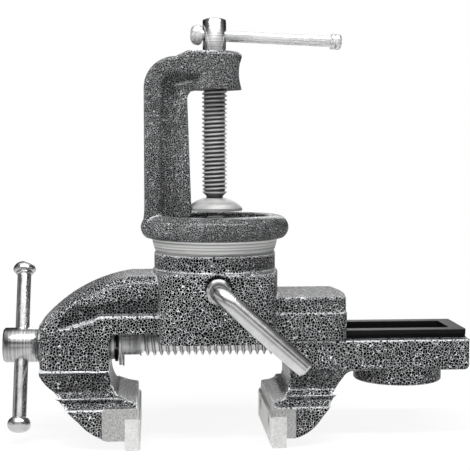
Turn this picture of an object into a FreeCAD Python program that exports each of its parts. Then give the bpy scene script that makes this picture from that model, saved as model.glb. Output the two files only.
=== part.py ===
"""Ball vise: a clamp-on bench vise whose body tilts and swivels on a hollow cast ball.

Millimetres. The table face of the clamp base is the plane Z = 0 and the swivel axis is the Z axis, so the
origin is the middle of the face that seats on the bench. +Z is that face's outward normal, +X runs along the
lead screw from its T-bar to the anvil, and +Y points away from the side with the locking lever. The vise is
drawn as it stands when it is set down on its jaws, with the bench clamp on top.
"""
import FreeCAD, Part
import math
import os

# ---------------------------------------------------------------------------------------------------------
# Fits
# ---------------------------------------------------------------------------------------------------------
running_fit = 0.05      # radial clearance of a shaft that turns or slides in its bore
seat_gap = 0.1          # between a loose piece and the seat it is held against
slide_gap = 0.3         # between guided castings
dead_clearance = 0.6    # around a piece that only passes through
trim_room = 200.0       # reach of the blocks that shapes are trimmed with

# ---------------------------------------------------------------------------------------------------------
# Clamp base: table ring, hollow ball and C-frame
# ---------------------------------------------------------------------------------------------------------
ring_radius = 42.9          # to the outside of the bulged rim
ring_bulge = 7.0            # radius of the rim's rounded edge
ring_bulge_end = -55.0      # degrees, where that edge turns into the hollow above the ball
ring_blend_drop = 9.0       # ball centre down to the end of the hollow
ring_blend_inset = 1.3      # how far in the middle of the hollow lies from the straight line
ring_opening = 32.0         # radius of the mouth in the table face
ball_radius = 37.0
ball_drop = 7.0             # ball centre below the table face
ball_cut = 19.0             # ball centre down to the flat where the ball is cut off
ball_hole = 10.5            # radius of the hole in that flat, which the draw bolt leans in
ball_seat = 18.0            # radius of the spherical seat inside the ball
ball_seat_rim = 16.5        # radius at which that seat ends
bowl_depth = 5.0            # straight part of the mouth below the table face
groove_depth = 0.35         # turned rings on the ball below the rim
groove_pitch = 1.3
groove_count = 4
seat_lip = 1.0              # the ring's wall overlaps the C-frame's foot by this

spine_back = -40.7          # outside of the C-frame's spine
spine_flange = 10.0         # thickness of its outer flange
spine_half_width = 15.0     # the outer flange, half its width
web_half_width = 8.0
web_front_foot = -13.2      # inside of the spine at the ring
web_front_top = -16.0       # and under the arm
bead_depth = 7.0            # thicker inner edge of the web
bead_half_width = 9.2
throat_height = 72.2        # table face to the underside of the arm
arm_height = 21.4           # thickness of the screw boss
arm_drop = 3.2              # the arm's top lies this far below the boss's top, at the corner
corner_radius = 18.0        # outside corner of the frame
boss_radius = 15.9
boss_scallop = 2.4          # depth of the hollow in the end of the boss
frame_edge = 2.2            # rounding of the frame's edges
foot_flare = 1.6            # the spine's back runs out by this much at the ring
foot_flare_height = 13.0
window_corner = 6.0         # inside corner under the arm
boss_bevel = 1.6
scallop_radius = 21.0
scallop_share = 0.42        # level of the hollow's middle, as a share of the arm's thickness

# ---------------------------------------------------------------------------------------------------------
# Clamp screw, pad and T-bar
# ---------------------------------------------------------------------------------------------------------
clamp_thread_radius = 7.3
clamp_neck_radius = 4.8
clamp_hub_radius = 6.9
clamp_hub_length = 18.6
pad_radius = 16.0
pad_relief = 0.6            # between the pad and the scoop in the spine
pad_face = 2.5              # height of the pad above the table face as stored
pad_height = 7.2
pad_rim = 1.6
pad_crown_radius = 6.3
pad_shoulder_radius = 12.0  # middle of the crown's rounded flank
pad_shoulder = 4.85         # its height above the pad's face
neck_length = 3.6
clamp_bar_radius = 3.3
clamp_bar_length = 87.5
clamp_bar_droop = 2.4       # degrees below level, on the side of the free end
clamp_bar_height = 9.6      # bar's axis above the boss
clamp_knob_radius = 6.0
clamp_knob_length = 6.6
clamp_cap_radius = 4.7
clamp_cap_length = 6.6

# ---------------------------------------------------------------------------------------------------------
# Vise body
# ---------------------------------------------------------------------------------------------------------
socket_rim = -21.5          # height of the cup's edge
socket_clearance = 0.1
neck_radius = 35.1
block_top = -31.0
block_half_length = 36.1
block_side_length = 32.5    # half the length where the bulged ends meet the rounded corners
block_side_width = 28.5     # and half the width there
block_front_length = 26.6   # half the length of the flat front
block_inset = 2.0           # the block is narrower than the jaws by this much on each side
block_edge = 1.2
body_bottom = -70.4
tilt_limit = 8.0            # degrees, where the cup meets the ring
screw_height = -75.0        # axis of the lead screw

arm_half_width = 27.0
arm_top = -33.2
arm_face = -100.2           # plane where the hub of the lead screw bears
arm_face_top = -61.5
arm_face_bottom = -89.5
arm_edge = 9.0              # rounding along the arm's back
bearing_boss_radius = 12.0
bearing_boss_height = 1.3
throat_wall = -61.0
throat_ceiling = -65.5
throat_corner = 4.5
block_chamfer = 2.5         # along the block's lower left edge
fixed_throat_arc = -87.0    # the throat's wall begins to curve
fixed_throat_bow = (-59.3, -95.4)
fixed_throat_foot = (-56.0, -100.8)
rim_width = 10.0            # raised rim that follows the throat
rim_height = 1.3
rim_corner = 6.0
pocket_depth = 4.5          # hollow in each side of the arm
pocket_drop = 12.0          # arm's top down to that hollow
pocket_bend = -58.0         # behind here the hollow's upper edge falls, by pocket_fall at this point
pocket_fall = 2.5
pocket_level = -42.0        # in front of here it is level
arm_root = -30.0            # the arm's pieces run into the block as far as this

housing_end = 76.2          # at the middle of its bulged end
housing_side_end = 74.0     # where that end meets the rounded corners
housing_side_width = 20.0
housing_front_end = 70.5    # end of the flat side
housing_half_width = 27.2
housing_corner_bulge = 2.0
housing_top = -45.4
housing_step_height = -54.7
housing_step = 0.6
housing_edge = 1.2

# ---------------------------------------------------------------------------------------------------------
# Jaws
# ---------------------------------------------------------------------------------------------------------
jaw_half_width = 40.0
jaw_skin = 1.6              # the painted sides lie this far inside the machined pads
fixed_jaw_top = -103.4      # at its face
moving_jaw_top = -103.7
moving_jaw_slope = 0.6      # its top falls by this much towards the face
jaw_step = -86.7            # the arm's full width ends here
fixed_waist_depth = 7.0     # each jaw is hollowed in by this, from its neck, between the step and the ridge
moving_neck_half_width = 24.9
moving_waist_depth = 4.9
waist_height = -94.0
jaw_ridge = -100.3          # ridge along each side, above the cove
jaw_ridge_half_width = 32.6
cove_half_width = 30.4      # bottom of the cove under the ridge
cove_top = -101.9
cove_foot = -105.7          # the cove runs out into the painted side
jaw_foot = -122.8           # bottom of the castings
fixed_machined_top = -104.9
moving_machined_top = -106.3
machined_corner = 2.0
machined_length = 19.5
moving_machined_length = 12.3
plate_thickness = 8.6
plate_top = -110.5
plate_height = 17.8
plate_proud = 1.6           # the plates stand this far out of the castings
plate_edge = 1.1
jaw_opening = 72.7
fixed_plate_face = -43.4
plate_screw_radius = 2.5
plate_screw_head = 4.6
plate_screw_length = 16.0
plate_screw_spread = 24.0   # each side of the middle
plate_screw_height = -115.6
plate_screw_drive = 1.5     # across-flats radius of the hexagon socket
plate_screw_inset = 0.15    # head below the plate's face
socket_depth = 1.9

# ---------------------------------------------------------------------------------------------------------
# Moving jaw
# ---------------------------------------------------------------------------------------------------------
bar_half_width = 26.0
bar_thickness = 17.8
bar_end = 145.4
bar_corner = 3.2
moving_wall = 42.0          # left-hand face of the slide
moving_throat_radius = 9.4
slide_half_width = 20.5
slide_height = 5.2
slide_neck_half_width = 18.5
slide_neck_height = 2.3
slide_setback = 1.3         # the slide ends this far short of the bar
slide_corner = 1.5
trough_half_width = 13.2
trough_wall = 8.0
trough_floor = 1.8          # below the top of the bar
trough_corner = 2.5
anvil_radius = 25.8
anvil_height = 8.6
anvil_centre = 108.2
anvil_edge = 0.6
jaw_back_reach = 76.0       # where the back of the moving jaw leaves the bar

# ---------------------------------------------------------------------------------------------------------
# Lead screw and its T-bar
# ---------------------------------------------------------------------------------------------------------
lead_thread_radius = 7.4
lead_shank_radius = 6.5
lead_hub_radius = 10.0
lead_hub_length = 20.2
lead_hub_gap = 0.3
thread_start = -43.0
screw_end = 59.6
nut_wall = 3.0              # casting in front of the nut
nut_length = 14.0
nut_half_width = 11.0
nut_drop = 9.6              # screw axis down to the bottom of the nut
nut_rise = 9.0
thrust_washer_radius = 8.9
thrust_washer_thickness = 2.6
spring_washer_radius = 10.2
spring_washer_thickness = 2.4
spring_washer_split = 2.0
flat_washer_radius = 12.4
flat_washer_thickness = 1.5
pin_wire_radius = 0.75
pin_leg_long = 6.9          # below the shank
pin_leg_short = 5.2
pin_leg_lean = 30.0         # degrees that the short leg is bent aside
pin_eye_radius = 1.9
main_bar_radius = 4.0
main_bar_length = 101.0
main_bar_lean = 25.0        # degrees from upright, its low end towards the lever side
main_bar_offset = 0.0
main_knob_radius = 6.6
main_knob_length = 7.6

# ---------------------------------------------------------------------------------------------------------
# Ball lock: lever with its eccentric, draw bolt, dished washers and nut
# ---------------------------------------------------------------------------------------------------------
lever_height = -40.1
lever_journal_radius = 6.8
lever_mouth_radius = 7.5
lever_mouth_rise = 1.2
lever_mouth_depth = 5.0
lever_rod_radius = 5.2
lever_throw = 1.4           # offset of the eccentric
lever_tail_radius = 3.7
lever_collar = 4.0          # journal left standing in front of the body
lever_bend = 9.0
lever_reach = 62.5          # axis to the end of the handle
lever_angle = -41.5         # degrees, the handle's direction seen from the lever side
lever_splay = 4.0           # degrees that the handle leans away from the body
lever_tip = 1.0             # bevel of the handle's end
bolt_radius = 5.0
bolt_end = -1.0
eye_radius = 9.4
eye_thickness = 12.0
eye_slack = 0.22            # round the eccentric, where the linkage is opened
eye_sway = 1.25             # extra width for the eccentric's sideways travel
outer_washer_thickness = 2.3
outer_washer_hole = 8.0
outer_washer_rim = 15.0
inner_washer_rim = 11.5
inner_washer_top = 9.0      # ball centre down to its flat top
bolt_washer_radius = 10.0
bolt_washer_thickness = 2.0
nut_flats = 17.0
nut_height = 8.0
nut_chamfer = 0.9
ring_wire = 1.2             # retaining ring on the lever's tail
ring_width = 2.2
tail_overhang = 3.4

# ---------------------------------------------------------------------------------------------------------
# Levels and places that follow from the sizes above
# ---------------------------------------------------------------------------------------------------------
ball_height = -ball_drop
block_half_width = jaw_half_width - block_inset
block_corner_bulge = 2.6    # how far each corner of the block swells out
fixed_jaw_face = fixed_plate_face - plate_proud
moving_plate_face = fixed_plate_face + jaw_opening
moving_jaw_face = moving_plate_face + plate_proud
bar_top = body_bottom - slide_gap
bar_bottom = bar_top - bar_thickness
slide_top = bar_top + slide_height
slide_end = bar_end - slide_setback
groove_top = slide_top + slide_gap
boss_top = throat_height + arm_height
hub_left = arm_face - bearing_boss_height - lead_hub_gap - lead_hub_length
eccentric_height = lever_height - lever_throw


def vec(x, y, z):
    return FreeCAD.Vector(x, y, z)


ORIGIN = vec(0, 0, 0)
X_AXIS = vec(1, 0, 0)
Y_AXIS = vec(0, 1, 0)
Z_AXIS = vec(0, 0, 1)


def box(x, y, z):
    """A block between the two values given along each axis."""
    return Part.makeBox(x[1] - x[0], y[1] - y[0], z[1] - z[0], vec(x[0], y[0], z[0]))


def rod(radius, start, end):
    """A round bar from one point to another."""
    run = end.sub(start)
    return Part.makeCylinder(radius, run.Length, start, run)


def wire(points, place):
    """Closed outline.

    A point (a, b) is reached by a straight edge, and a pair of points by an arc through the first of them.
    """
    start = points[0]
    here = start
    edges = []
    for step in points[1:] + [start]:
        if isinstance(step[0], tuple):
            middle, end = step
            edges.append(Part.Arc(place(*here), place(*middle), place(*end)).toShape())
        else:
            end = step
            if math.dist(here, end) > 1e-6:
                edges.append(Part.LineSegment(place(*here), place(*end)).toShape())
        here = end
    return Part.Face(Part.Wire(edges))


def side_plate(points, y_low, y_high):
    """An outline of (x, z) points carried along Y."""
    face = wire(points, lambda x, z: vec(x, y_low, z))
    return face.extrude(vec(0, y_high - y_low, 0))


def plan_plate(points, z_low, z_high):
    """An outline of (x, y) points carried along Z."""
    face = wire(points, lambda x, y: vec(x, y, z_low))
    return face.extrude(vec(0, 0, z_high - z_low))


def end_plate(points, x_low, x_high):
    """An outline of (y, z) points carried along X."""
    face = wire(points, lambda y, z: vec(x_low, y, z))
    return face.extrude(vec(x_high - x_low, 0, 0))


def turned(points, base, axis):
    """A profile of (radius, height) points turned about an axis that starts at base."""
    face = wire(points, lambda r, h: vec(r, 0, h))
    solid = face.revolve(ORIGIN, Z_AXIS, 360)
    solid.Placement = FreeCAD.Placement(base, FreeCAD.Rotation(Z_AXIS, axis))
    return solid


def corner(centre, radius, start, end):
    """An arc about a centre, as the pair (middle, end) that an outline takes. Angles are in degrees."""
    def at(angle):
        turn = math.radians(angle)
        return (centre[0] + radius * math.cos(turn), centre[1] + radius * math.sin(turn))
    return (at((start + end) / 2), at(end))


def rounded_rectangle(half_length, half_width, radius, centre=(0.0, 0.0)):
    """Outline of a rectangle with rounded corners."""
    x, y = centre
    a = half_length - radius
    b = half_width - radius
    return [
        (x + a, y - half_width),
        corner((x + a, y - b), radius, -90, 0),
        (x + half_length, y + b),
        corner((x + a, y + b), radius, 0, 90),
        (x - a, y + half_width),
        corner((x - a, y + b), radius, 90, 180),
        (x - half_length, y - b),
        corner((x - a, y - b), radius, 180, 270),
    ]


def both_sides(shape):
    """The shape and its mirror image across the middle plane Y = 0."""
    return [shape, shape.mirror(ORIGIN, Y_AXIS)]


def fused(pieces):
    return pieces[0].fuse(pieces[1:]).removeSplitter()


def edges_where(shape, test):
    return [edge for edge in shape.Edges if test(edge.CenterOfMass, edge)]


def tilted(shape, centre, axis, degrees):
    turned_shape = shape.copy()
    turned_shape.rotate(centre, axis, degrees)
    return turned_shape


# ---------------------------------------------------------------------------------------------------------
# Clamp base
# ---------------------------------------------------------------------------------------------------------
def ring_and_ball():
    """The table ring and hollow ball, turned in one profile about the swivel axis."""
    bulge_centre = (ring_radius - ring_bulge, -ring_bulge)
    ball_side = math.sqrt(ball_radius ** 2 - ring_blend_drop ** 2)
    bulge_end = corner(bulge_centre, ring_bulge, 90, ring_bulge_end)[1]
    blend_middle = (
        (bulge_end[0] + ball_side) / 2 - ring_blend_inset * math.sin(math.radians(45)),
        (bulge_end[1] + ball_height - ring_blend_drop) / 2 + ring_blend_inset * math.sin(math.radians(45)),
    )
    flat_radius = math.sqrt(ball_radius ** 2 - ball_cut ** 2)
    middle_drop = (ring_blend_drop + ball_cut) / 2
    middle_radius = math.sqrt(ball_radius ** 2 - middle_drop ** 2)
    seat_bottom = math.sqrt(ball_seat ** 2 - ball_hole ** 2)
    seat_top = math.sqrt(ball_seat ** 2 - ball_seat_rim ** 2)
    seat_middle_radius = (ball_hole + ball_seat_rim) / 2
    seat_middle = math.sqrt(ball_seat ** 2 - seat_middle_radius ** 2)
    profile = [
        (ring_opening, -bowl_depth),
        (ring_opening, 0.0),
        (bulge_centre[0], 0.0),
        corner(bulge_centre, ring_bulge, 90, ring_bulge_end),
        (blend_middle, (ball_side, ball_height - ring_blend_drop)),
        ((middle_radius, ball_height - middle_drop), (flat_radius, ball_height - ball_cut)),
        (ball_hole, ball_height - ball_cut),
        (ball_hole, ball_height - seat_bottom),
        ((seat_middle_radius, ball_height - seat_middle), (ball_seat_rim, ball_height - seat_top)),
    ]
    body = turned(profile, ORIGIN, Z_AXIS)
    grooves = []
    for index in range(groove_count):
        drop = ring_blend_drop + groove_pitch * (index + 0.6)
        radius = math.sqrt(ball_radius ** 2 - drop ** 2)
        ring = [
            (radius - groove_depth, ball_height - drop),
            (radius + 1.0, ball_height - drop - groove_pitch / 3),
            (radius + 1.0, ball_height - drop + groove_pitch / 3),
        ]
        grooves.append(turned(ring, ORIGIN, Z_AXIS))
    return body.cut(grooves)


def c_frame():
    """The C-frame: an outer flange with a web inside it, and the round boss of the clamp screw."""
    foot = -ring_bulge
    deep_foot = -2 * ring_bulge
    shoulder = boss_top - arm_drop
    bend_centre = (spine_back + corner_radius, shoulder - corner_radius)
    flange_inside = spine_back + spine_flange
    inner_bend = corner_radius - spine_flange
    flare_radius = (foot_flare_height ** 2 + foot_flare ** 2) / (2 * foot_flare)
    flare_angle = math.degrees(math.asin(foot_flare_height / flare_radius))
    flare_centre = (spine_back - flare_radius, foot + foot_flare_height)
    outer = side_plate(
        [
            (spine_back - foot_flare, foot),
            corner(flare_centre, flare_radius, -flare_angle, 0),
            (spine_back, bend_centre[1]),
            corner(bend_centre, corner_radius, 180, 90),
            (-boss_radius, boss_top),
            (0.0, boss_top),
            (0.0, shoulder - spine_flange),
            (bend_centre[0], shoulder - spine_flange),
            corner(bend_centre, inner_bend, 90, 180),
            (flange_inside, foot),
        ],
        -spine_half_width,
        spine_half_width,
    )
    long_edges = edges_where(
        outer,
        lambda c, e: abs(abs(c.y) - spine_half_width) < 0.01 and c.x < -boss_radius and c.z > foot + 1.0,
    )
    outer = outer.makeFillet(frame_edge, long_edges)
    web_outline = [
        (spine_back + frame_edge, foot),
        (spine_back + frame_edge, bend_centre[1]),
        corner(bend_centre, corner_radius - frame_edge, 180, 90),
        (0.0, shoulder - frame_edge),
        (0.0, throat_height),
        (web_front_top + window_corner, throat_height),
        corner((web_front_top + window_corner, throat_height - window_corner), window_corner, 90, 180),
        (web_front_foot, deep_foot),
        (-ring_opening - seat_lip, deep_foot),
        (-ring_opening - seat_lip, foot),
    ]
    web = side_plate(web_outline, -web_half_width, web_half_width)
    bead_outline = [
        (web_front_top - bead_depth, deep_foot),
        (web_front_top - bead_depth, throat_height + frame_edge),
        (0.0, throat_height + bead_depth),
        (0.0, throat_height),
        (web_front_top + window_corner, throat_height),
        corner((web_front_top + window_corner, throat_height - window_corner), window_corner, 90, 180),
        (web_front_foot, deep_foot),
    ]
    bead = side_plate(bead_outline, -bead_half_width, bead_half_width)
    boss = Part.makeCylinder(boss_radius, arm_height, vec(0, 0, throat_height))
    boss = boss.makeChamfer(boss_bevel, edges_where(boss, lambda c, e: abs(c.z - boss_top) < 0.01))
    scallop_centre = boss_radius - boss_scallop + scallop_radius
    scallop_height = throat_height + arm_height * scallop_share
    hollow = Part.makeCylinder(
        scallop_radius, 2 * boss_radius, vec(scallop_centre, -boss_radius, scallop_height), Y_AXIS
    )
    frame = fused([outer, web, bead, boss.cut(hollow)])
    scoop_foot = deep_foot - 1.0
    scoop_length = throat_height - scoop_foot - 0.5
    scoop = Part.makeCylinder(pad_radius + pad_relief, scoop_length, vec(0, 0, scoop_foot))
    return frame.cut(scoop)


def clamp_base():
    bore = Part.makeCylinder(
        clamp_thread_radius + running_fit, arm_height + 2.0, vec(0, 0, throat_height - 1.0)
    )
    return fused([ring_and_ball(), c_frame()]).cut(bore)


# ---------------------------------------------------------------------------------------------------------
# Clamp screw group
# ---------------------------------------------------------------------------------------------------------
clamp_bar_level = boss_top + clamp_bar_height
droop = math.radians(clamp_bar_droop)
clamp_bar_hole = (
    clamp_bar_radius / math.cos(droop) + clamp_hub_radius * math.tan(droop) + running_fit + seat_gap
)


def clamp_screw():
    """Threaded spindle at its full diameter, with the hub on top and a neck that the pad turns on."""
    thread_foot = pad_face + pad_height + neck_length
    hub_foot = boss_top + slide_gap
    hub_head = hub_foot + clamp_hub_length
    profile = [
        (0.0, pad_face + pad_rim + seat_gap + 1.0),
        (clamp_neck_radius, pad_face + pad_rim + seat_gap + 1.0),
        (clamp_neck_radius, thread_foot - 2.4),
        (clamp_thread_radius, thread_foot),
        (clamp_thread_radius, hub_foot),
        (clamp_hub_radius, hub_foot),
        (clamp_hub_radius, hub_head - 0.8),
        (clamp_hub_radius - 0.8, hub_head),
        (0.0, hub_head),
    ]
    spindle = turned(profile, ORIGIN, Z_AXIS)
    cross = Part.makeCylinder(
        clamp_bar_hole, 4 * clamp_hub_radius, vec(-2 * clamp_hub_radius, 0, clamp_bar_level), X_AXIS
    )
    return spindle.cut(cross)


def clamp_pad():
    """Round pad with a domed crown, closed over the spindle's neck."""
    crown = pad_face + pad_height
    neck_bore = clamp_neck_radius + running_fit
    profile = [
        (0.0, pad_face),
        (pad_radius, pad_face),
        (pad_radius, pad_face + pad_rim),
        ((pad_shoulder_radius, pad_face + pad_shoulder), (pad_crown_radius, crown)),
        (neck_bore, crown),
        (neck_bore, pad_face + pad_rim + 1.0),
        (0.0, pad_face + pad_rim + 1.0),
    ]
    return turned(profile, ORIGIN, Z_AXIS)


def bar_direction():
    return vec(math.cos(droop), 0, -math.sin(droop))


def clamp_bar_start():
    """The face of the fixed knob that lies against the hub."""
    clear = clamp_hub_radius + clamp_knob_radius * math.tan(droop) + seat_gap
    return vec(0, 0, clamp_bar_level).sub(bar_direction().multiply(clear))


def clamp_bar():
    """T-bar with its forged knob. The knob lies against the hub and the bar hangs out to the right."""
    knob = clamp_knob_length
    cap_seat = clamp_bar_length - knob - clamp_cap_length * 0.4
    profile = [
        (0.0, -knob),
        (clamp_knob_radius * 0.35, -knob),
        ((clamp_knob_radius * 0.82, -knob * 0.8), (clamp_knob_radius, -knob * 0.42)),
        (clamp_knob_radius, -knob * 0.2),
        (clamp_knob_radius * 0.8, 0.0),
        (clamp_bar_radius, 0.0),
        (clamp_bar_radius, cap_seat),
        (0.0, cap_seat),
    ]
    return turned(profile, clamp_bar_start(), bar_direction())


def clamp_bar_cap():
    """Cap pressed on the bar's free end, so that it can't slip out of the hub."""
    start = clamp_bar_length - clamp_knob_length - clamp_cap_length
    seat = clamp_bar_length - clamp_knob_length - clamp_cap_length * 0.4
    length = clamp_cap_length
    profile = [
        (clamp_bar_radius, 0.0),
        (clamp_cap_radius - 0.7, 0.0),
        (clamp_cap_radius, 0.8),
        (clamp_cap_radius, length * 0.34),
        (clamp_cap_radius - 0.5, length * 0.42),
        (clamp_cap_radius, length * 0.5),
        ((clamp_cap_radius * 0.9, length * 0.86), (clamp_cap_radius * 0.45, length)),
        (0.0, length),
        (0.0, seat - start),
        (clamp_bar_radius, seat - start),
    ]
    return turned(profile, clamp_bar_start().add(bar_direction().multiply(start)), bar_direction())


# ---------------------------------------------------------------------------------------------------------
# Vise body
# ---------------------------------------------------------------------------------------------------------
def jaw_foot_solids(outline, neck, waist_depth, pad_span, pad_top):
    """A jaw below its neck: hollowed waist, ridge, cove, painted sides and a machined pad at each end.

    neck is the half width and the height where the waist begins.
    """
    waist_half_width = neck[0] - waist_depth
    side = jaw_half_width - jaw_skin
    cove_middle = ((side + cove_half_width) / 2 - 0.6, (cove_top + cove_foot) / 2 - 0.9)
    lip = (jaw_ridge_half_width - 0.5, jaw_ridge)
    section = [
        (-side, jaw_foot - trim_room),
        (side, jaw_foot - trim_room),
        (side, cove_foot),
        (cove_middle, (cove_half_width, cove_top)),
        (jaw_ridge_half_width, jaw_ridge - 0.7),
        lip,
        ((waist_half_width, waist_height), neck),
        (-neck[0], neck[1]),
        ((-waist_half_width, waist_height), (-lip[0], lip[1])),
        (-jaw_ridge_half_width, jaw_ridge - 0.7),
        (-cove_half_width, cove_top),
        ((-cove_middle[0], cove_middle[1]), (-side, cove_foot)),
    ]
    wide = side_plate(outline, -jaw_half_width, jaw_half_width)
    shell = end_plate(section, -trim_room, trim_room)
    pad = side_plate(
        [
            (pad_span[0], jaw_foot),
            (pad_span[1], jaw_foot),
            (pad_span[1], pad_top - machined_corner),
            corner((pad_span[1] - machined_corner, pad_top - machined_corner), machined_corner, 0, 90),
            (pad_span[0] + machined_corner, pad_top),
            corner((pad_span[0] + machined_corner, pad_top - machined_corner), machined_corner, 90, 180),
        ],
        -jaw_half_width,
        jaw_half_width,
    )
    return [wide.common(shell), wide.common(pad)]


def fixed_outline():
    """Side view of the arm and the fixed jaw, from the block round to the throat."""
    ceiling_end = -block_half_length + 1.5
    return [
        (-20.0, arm_top),
        (-48.0, arm_top),
        ((-78.4, arm_top - 10.4), (arm_face, arm_face_top)),
        (arm_face, arm_face_bottom),
        ((arm_face + 2.9, arm_face_bottom - 4.8), (arm_face + 7.8, arm_face_bottom - 8.9)),
        (-77.3, jaw_foot + 10.1),
        ((-70.8, jaw_foot + 4.1), (-62.0, jaw_foot)),
        (fixed_jaw_face, jaw_foot),
        (fixed_jaw_face, fixed_jaw_top),
        fixed_throat_foot,
        (fixed_throat_bow, (throat_wall, fixed_throat_arc)),
        (throat_wall, throat_ceiling - throat_corner),
        corner((throat_wall + throat_corner, throat_ceiling - throat_corner), throat_corner, 180, 90),
        (ceiling_end, throat_ceiling),
        (ceiling_end + 4.6, body_bottom),
        (-20.0, body_bottom),
    ]


def arm():
    """The arm from the block to the fixed jaw, with rounded back edges and hollowed sides."""
    outline = fixed_outline()
    narrow = side_plate(outline, -arm_half_width, arm_half_width)
    back_edges = edges_where(
        narrow,
        lambda c, e: abs(abs(c.y) - arm_half_width) < 0.01
        and (c.x < throat_wall - 4.0 and c.z > arm_face_bottom or c.x < arm_root and c.z > arm_top - 14.0),
    )
    narrow = narrow.makeFillet(arm_edge, back_edges)
    upper = box((-trim_room, 0.0), (-trim_room, trim_room), (jaw_step, 0.0))
    pieces = [narrow.common(upper)]
    pad_span = (fixed_jaw_face - machined_length, fixed_jaw_face)
    neck = (arm_half_width, jaw_step)
    pieces += jaw_foot_solids(outline, neck, fixed_waist_depth, pad_span, fixed_machined_top)
    rim_top = throat_ceiling + rim_width
    rim_left = throat_wall - rim_width
    rim_outline = [
        (arm_root, rim_top),
        (rim_left + rim_corner, rim_top),
        corner((rim_left + rim_corner, rim_top - rim_corner), rim_corner, 90, 180),
        (rim_left, jaw_step),
        (throat_wall, jaw_step),
        (throat_wall, throat_ceiling - throat_corner),
        corner((throat_wall + throat_corner, throat_ceiling - throat_corner), throat_corner, 180, 90),
        (-block_half_length, throat_ceiling),
        (arm_root, throat_ceiling),
    ]
    pieces.append(side_plate(rim_outline, -arm_half_width - rim_height, arm_half_width + rim_height))
    boss_end = vec(arm_face - bearing_boss_height, 0, screw_height)
    boss = Part.makeCylinder(bearing_boss_radius, bearing_boss_height + 2.0, boss_end, X_AXIS)
    pieces.append(boss)
    pocket_outline = [
        (arm_root, rim_top + 0.4),
        (rim_left + 5.0, rim_top + 0.4),
        ((rim_left - 6.0, rim_top - 4.5), (rim_left - 17.0, rim_top - 7.0)),
        ((rim_left - 15.0, rim_top + 1.0), (rim_left - 6.0, rim_top + 6.5)),
        ((pocket_bend, arm_top - pocket_drop - pocket_fall), (pocket_level, arm_top - pocket_drop)),
        (arm_root, arm_top - pocket_drop),
    ]
    pocket = side_plate(pocket_outline, arm_half_width - pocket_depth, arm_half_width + 10.0)
    return fused(pieces).cut(both_sides(pocket))


def bulged_outline(middle, side, front, side_width, width, corner_bulge):
    """Plan of one bulged end with rounded corners, from the flat at -Y round to the flat at +Y."""
    corner_x = (side + front) / 2 + corner_bulge * 0.6
    corner_y = (side_width + width) / 2 + corner_bulge * 0.6
    return [
        (front, -width),
        ((corner_x, -corner_y), (side, -side_width)),
        ((middle, 0.0), (side, side_width)),
        ((corner_x, corner_y), (front, width)),
    ]


def block_and_neck():
    """The rounded block in the middle, and above it the round neck that holds the socket."""
    right = bulged_outline(
        block_half_length,
        block_side_length,
        block_front_length,
        block_side_width,
        block_half_width,
        block_corner_bulge,
    )
    left = bulged_outline(
        -block_half_length,
        -block_side_length,
        -block_front_length,
        -block_side_width,
        -block_half_width,
        -block_corner_bulge,
    )
    block = plan_plate(right + left, body_bottom, block_top)
    block = block.makeFillet(block_edge, edges_where(block, lambda c, e: abs(c.z - block_top) < 0.01))
    neck = Part.makeCylinder(neck_radius, socket_rim - block_top + 2.0, vec(0, 0, block_top - 2.0))
    return [block, neck]


def housing():
    """The guide housing right of the block, in two steps as its mould parts."""
    pieces = []
    for inset, low, high in (
        (0.0, body_bottom, housing_step_height),
        (housing_step, housing_step_height, housing_top),
    ):
        width = housing_half_width - inset
        end = bulged_outline(
            housing_end - inset,
            housing_side_end - inset,
            housing_front_end - inset,
            housing_side_width,
            width,
            housing_corner_bulge,
        )
        pieces.append(plan_plate([(0.0, -width)] + end + [(0.0, width)], low, high))
    top = pieces[1]
    top_edges = edges_where(top, lambda c, e: abs(c.z - housing_top) < 0.01 and c.x > 1.0)
    pieces[1] = top.makeFillet(housing_edge, top_edges)
    return pieces


def socket_cuts():
    """The spherical cup, the well of the draw bolt's eye and the bores of the lever."""
    reach = ball_radius + socket_clearance
    floor = ball_height - ball_cut * math.cos(math.radians(tilt_limit))
    floor -= math.sqrt(ball_radius ** 2 - ball_cut ** 2) * math.sin(math.radians(tilt_limit)) + slide_gap
    cup = Part.makeSphere(reach, vec(0, 0, ball_height))
    cup = cup.common(box((-trim_room, trim_room), (-trim_room, trim_room), (floor, trim_room)))
    well_radius = math.hypot(eye_radius, eye_thickness / 2) + slide_gap
    well_bottom = eccentric_height - eye_radius - slide_gap
    well = Part.makeCylinder(well_radius, floor - well_bottom + 1.0, vec(0, 0, well_bottom))
    front = vec(0, -block_half_width - 1.0, lever_height)
    journal = Part.makeCylinder(lever_journal_radius + running_fit, block_half_width + 1.0, front, Y_AXIS)
    mouth = Part.makeCylinder(
        lever_mouth_radius,
        lever_mouth_depth + 1.0,
        front.add(vec(0, 0, lever_mouth_rise)),
        Y_AXIS,
    )
    tail = Part.makeCylinder(
        lever_tail_radius + running_fit, block_half_width + 2.0, vec(0, 0, lever_height), Y_AXIS
    )
    return [cup, well, journal, mouth, tail]


def slide_tunnel():
    """The T-shaped guide that the moving jaw's slide runs in, open below and at both ends."""
    neck = slide_neck_half_width + slide_gap
    head = slide_half_width + slide_gap
    lip_top = bar_top + slide_neck_height - slide_gap
    right = housing_end + 1.0
    lips_left = -block_half_length + 6.1
    return [
        box((throat_wall + 1.0, right), (-head, head), (lip_top, groove_top)),
        box((lips_left, right), (-neck, neck), (body_bottom - 1.0, lip_top + 0.5)),
        box((throat_wall + 1.0, lips_left), (-head, head), (body_bottom - 1.0, lip_top + 0.5)),
    ]


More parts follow.
